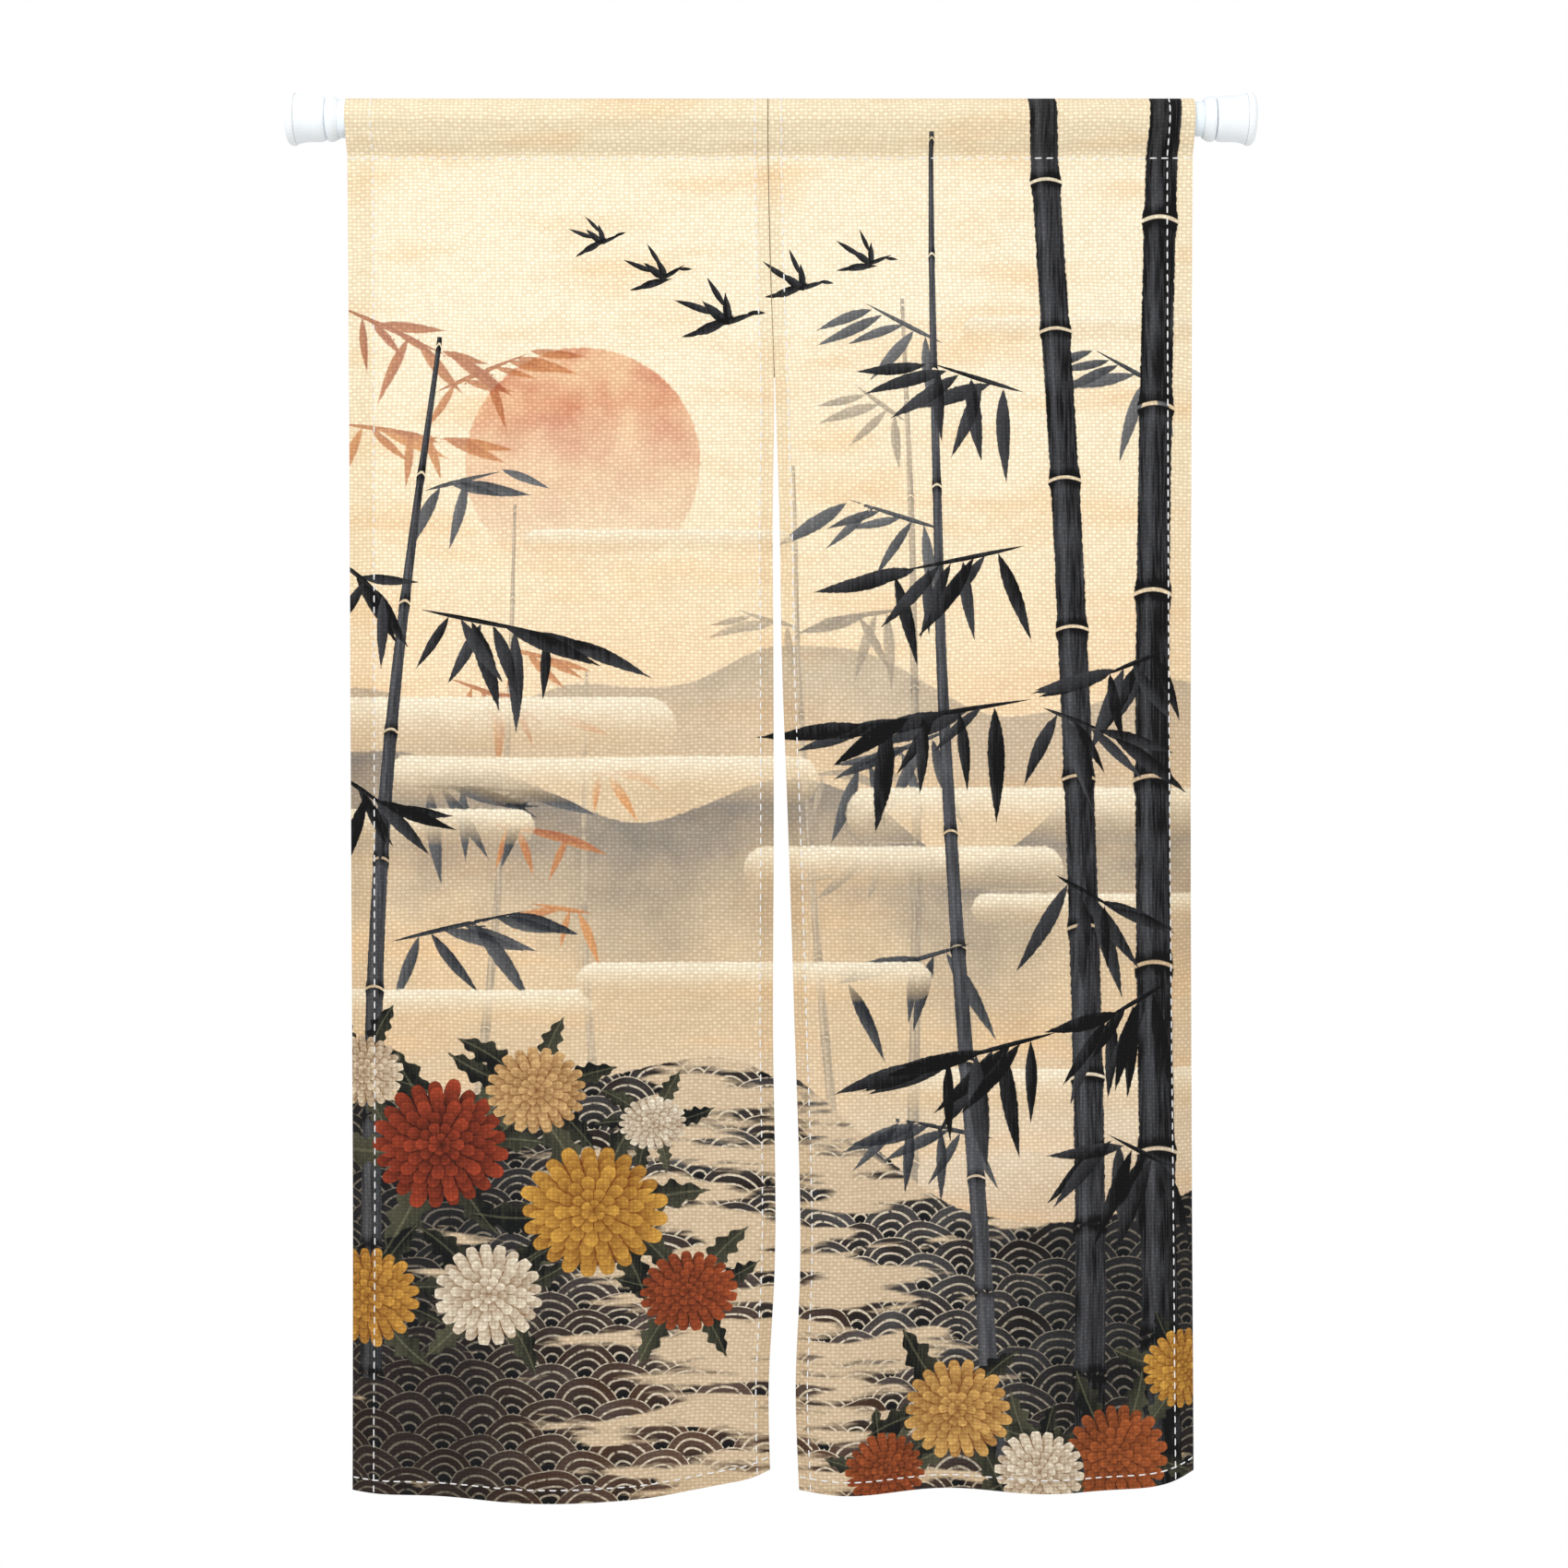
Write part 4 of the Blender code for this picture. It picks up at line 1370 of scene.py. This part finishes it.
def makeStitchTree():
    # dashes along every path: each dips into the cloth at both ends
    tree, given, result, identifiers = newShapeTree("stitchLine", {
        "Pitch": decimal, "Dash": decimal, "Thread": decimal, "Sink": decimal, "Wobble": decimal,
        "Seed": "NodeSocketInt",
    })
    half = given["Dash"] * 0.5
    line = addLinked("GeometryNodeCurvePrimitiveLine", {"Start": combine(-half), "End": combine(half)})
    line = addLinked("GeometryNodeResampleCurve", {"Curve": line, "Count": stitching["points"]})
    outer = abs(addNode(tree, "GeometryNodeSplineParameter").output("Factor").timesPlus(2.0, -1.0))
    dive = outer.run("POWER", stitching["dive"]) * -given["Sink"]
    line = addLinked("GeometryNodeSetPosition", {"Geometry": line, "Offset": combine(z=dive)})
    thinner, late = stitching["taper"]
    scale = outer.run("POWER", late).timesPlus(thinner, 1.0)
    dash = tubeAlong(line, given["Thread"], stitching["sides"], scale)
    tangent = addNode(tree, "GeometryNodeInputTangent")
    outward = addNode(tree, "GeometryNodeInputNamedAttribute", {"Name": "outward"}, data_type="FLOAT_VECTOR")
    turn = addLinked(
        "FunctionNodeAxesToRotation", {0: outward, 1: tangent}, primary_axis="Z", secondary_axis="X",
    )
    spread = {2: -given["Wobble"], 3: given["Wobble"], "Seed": given["Seed"]}
    angle = addLinked("FunctionNodeRandomValue", spread, data_type="FLOAT").output(1)
    twist = addLinked("FunctionNodeAxisAngleToRotation", {"Axis": (0, 0, 1), "Angle": angle})
    turns = {"Rotation": turn, "Rotate By": twist}
    turn = addLinked("FunctionNodeRotateRotation", turns, rotation_space="LOCAL")
    copies = {"Points": evenCurve(given, given["Pitch"]), "Instance": dash, "Rotation": turn}
    finishShape(given, result, addLinked("GeometryNodeInstanceOnPoints", copies))
    return tree, identifiers


def makeCordTree():
    # a round thread along the path, swelling at every other point
    inputs = {"Thread": decimal, "Pitch": decimal, "Swell": stitching["seamSwell"]}
    tree, given, result, identifiers = newShapeTree("seamShadowThread", inputs)
    everyOther = addNode(tree, "GeometryNodeInputIndex").run("PINGPONG", 1.0)
    swell = everyOther.timesPlus(-given["Swell"], 1.0)
    cord = tubeAlong(evenCurve(given, given["Pitch"]), given["Thread"], stitching["seamSides"], swell)
    finishShape(given, result, cord)
    return tree, identifiers


def threadMaterial(name, tint, shade):
    # two-ply thread: slanting bands of light and shade
    material, shader, tree = newMaterial(name)
    place = onPiece(tree)
    x, y, z = place.parts()
    plies = ((x + z + y) * (2 * math.pi / (stitching["ply"] * mm))).run("SINE")
    fuzz = noise(place, stitching["fuzz"])
    share = plies.timesPlus(*stitching["plies"]) + fuzz
    feed(shader, {
        "Base Color": mixColour(share, linear(*shade), linear(*tint)),
        "Roughness": fuzz.timesPlus(*stitching["roughness"]),
        "Sheen Weight": stitching["sheen"],
        "Normal": bump(plies, stitching["relief"], stitching["reliefDepth"] * mm),
    })
    return material


def grow(guide, shapeTree, values, name):
    # run a geometry tree on a guide and keep only its plain result
    tree, identifiers = shapeTree
    modifier = guide.modifiers.new("shape", "NODES")
    modifier.node_group = tree
    for key, value in values.items():
        modifier[identifiers[key]] = value
    shown = guide.evaluated_get(bpy.context.evaluated_depsgraph_get())
    mesh = bpy.data.meshes.new_from_object(shown)
    guide.modifiers.remove(modifier)
    bpy.data.objects.remove(guide)
    mesh.name = name
    mesh.shade_smooth()
    return newObject(name, mesh)


whiteThread = threadMaterial("whiteThread", stitching["threadTint"], stitching["threadShade"])
# the seam's thread is dark to paint the shadow in the seam between the panels
seamShadowThread = threadMaterial("paintedSeamShadowThread", stitching["seamShadowTint"], stitching["seamShade"])
stitchTree = makeStitchTree()
sewing = {}
for side in panels:
    guide = pathMesh(f"guide_{side}", stitchPaths(side), stitching["lift"])
    sewing[side] = grow(guide, stitchTree, {
        "Pitch": stitching["pitch"] * mm, "Dash": stitching["dash"] * mm, "Thread": stitching["thread"] * mm,
        "Sink": stitching["sink"] * mm, "Wobble": stitching["wobble"], "Seed": stitching["seed"],
        "Material": whiteThread,
    }, f"stitches_{side}")
guide = pathMesh("guide_seam", [seamPath()], -stitching["seamSink"])
seam = grow(guide, makeCordTree(), {
    "Thread": stitching["seamShadowThread"] * mm, "Pitch": stitching["seamPitch"] * mm, "Material": seamShadowThread,
}, "seam_shadow_thread")
print("scene: sewing done,", [len(piece.data.polygons) for piece in sewing.values()], "faces")


# Rod: white coated tubes, moulded ends, rubber feet

rodFinishes = table(
    "name tint shade roughness grain coat",
    ("coatedTube", (240, 249, 255), (228, 240, 249), 0.34, 700.0, 0.3),
    ("mouldedEnd", (244, 248, 251), (232, 239, 245), 0.38, 500.0, 0.15),
    ("footRubber", (246, 249, 251), (236, 241, 245), 0.68, 900.0, 0.0),
)
rodParts = {
    "rod_outer_tube": "coatedTube", "rod_inner_tube": "coatedTube",
    "rod_cap": "mouldedEnd", "rod_collar": "mouldedEnd", "rod_foot": "footRubber",
}
# what the finishes share: scale and strength of their clouds, their grain, gloss and relief
rodLook = {
    "clouds": 40.0, "cloudy": 1.2, "grainy": (0.5, 0.6), "dull": 0.12, "coatRoughness": 0.2,
    "relief": 0.25, "reliefDepth": 0.1,
}


def mouldedMaterial(name, tint, shade, roughness, grain, coat):
    material, shader, tree = newMaterial(name)
    place = onPiece(tree)
    fine = noise(place, grain)
    clouds = noise(place, rodLook["clouds"], 3.0)
    share = clouds.timesPlus(rodLook["cloudy"], fine.timesPlus(*rodLook["grainy"]))
    feed(shader, {
        "Base Color": mixColour(share, linear(*shade), linear(*tint)),
        "Roughness": fine.timesPlus(rodLook["dull"], roughness),
        "Coat Weight": coat,
        "Coat Roughness": rodLook["coatRoughness"],
        "Normal": bump(fine, rodLook["relief"], rodLook["reliefDepth"] * mm),
    })
    return material


finishes = {row["name"]: mouldedMaterial(**row) for row in rodFinishes}
for name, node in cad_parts.items():
    for start, finish in rodParts.items():
        if name.startswith(start):
            node.data.materials.clear()
            node.data.materials.append(finishes[finish])
print("scene: rod finished")


# Lights and stage, sizes in metres

light = {"world": 0.76}
stage = {
    "drop": 1.9, "radius": 1.25, "sides": 48, "clouds": 5.0, "roughness": 0.7,
    "shade": (238, 237, 234), "tint": (246, 245, 243),
}
lamps = table(
    "name place size energy",
    ("keyLight", (-0.9, -2.4, 1.3), 1.6, 46.0),
    ("fillLight", (2.3, -2.2, 0.1), 1.8, 12.0),
)
middle = (view["centreX"] * mm, 0.0, view["centreZ"] * mm)


def makeWorld():
    world = bpy.data.worlds.new("studio")
    world.use_nodes = True
    bpy.context.scene.world = world
    background = world.node_tree.nodes["Background"]
    seen = addNode(world.node_tree, "ShaderNodeLightPath").output("Is Camera Ray")
    feed(background.inputs, {"Color": (1, 1, 1, 1), "Strength": mixValue(seen, light["world"], 1.0)})


def makeAreaLight(lamp):
    data = bpy.data.lights.new(lamp["name"], "AREA")
    data.shape = "SQUARE"
    data.size = lamp["size"]
    data.energy = lamp["energy"]
    made = newObject(lamp["name"], data)
    made.location = lamp["place"]
    x, y, z = np.subtract(middle, lamp["place"])
    made.rotation_euler = (math.pi / 2 + math.atan2(z, math.hypot(x, y)), 0, math.atan2(y, x) - math.pi / 2)


def makeFloor():
    # a pale round disc below the curtain
    points = []
    for i in range(stage["sides"]):
        x, y = heading(360 * i / stage["sides"]) * stage["radius"]
        points.append((middle[0] + x, y, -stage["drop"]))
    mesh = bpy.data.meshes.new("floor")
    mesh.from_pydata(points, [], [tuple(range(stage["sides"]))])
    material, shader, tree = newMaterial("paleFloor")
    cloudy = noise(onPiece(tree), stage["clouds"]) + 0.5
    tint = mixColour(cloudy, linear(*stage["shade"]), linear(*stage["tint"]))
    feed(shader, {"Base Color": tint, "Roughness": stage["roughness"]})
    return newObject("floor", mesh, material)


makeWorld()
for lamp in lamps:
    makeAreaLight(lamp)
floor = makeFloor()
bpy.context.scene.view_settings.view_transform = "Standard"
print("scene: lights and floor made")


# What each piece stands for

for side, panel in panels.items():
    piece = clothPieces[side]
    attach(piece, "root")
    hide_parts(panel["node"])
    sewn = sewing[side]
    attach(sewn, "root")
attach(seam, "root")
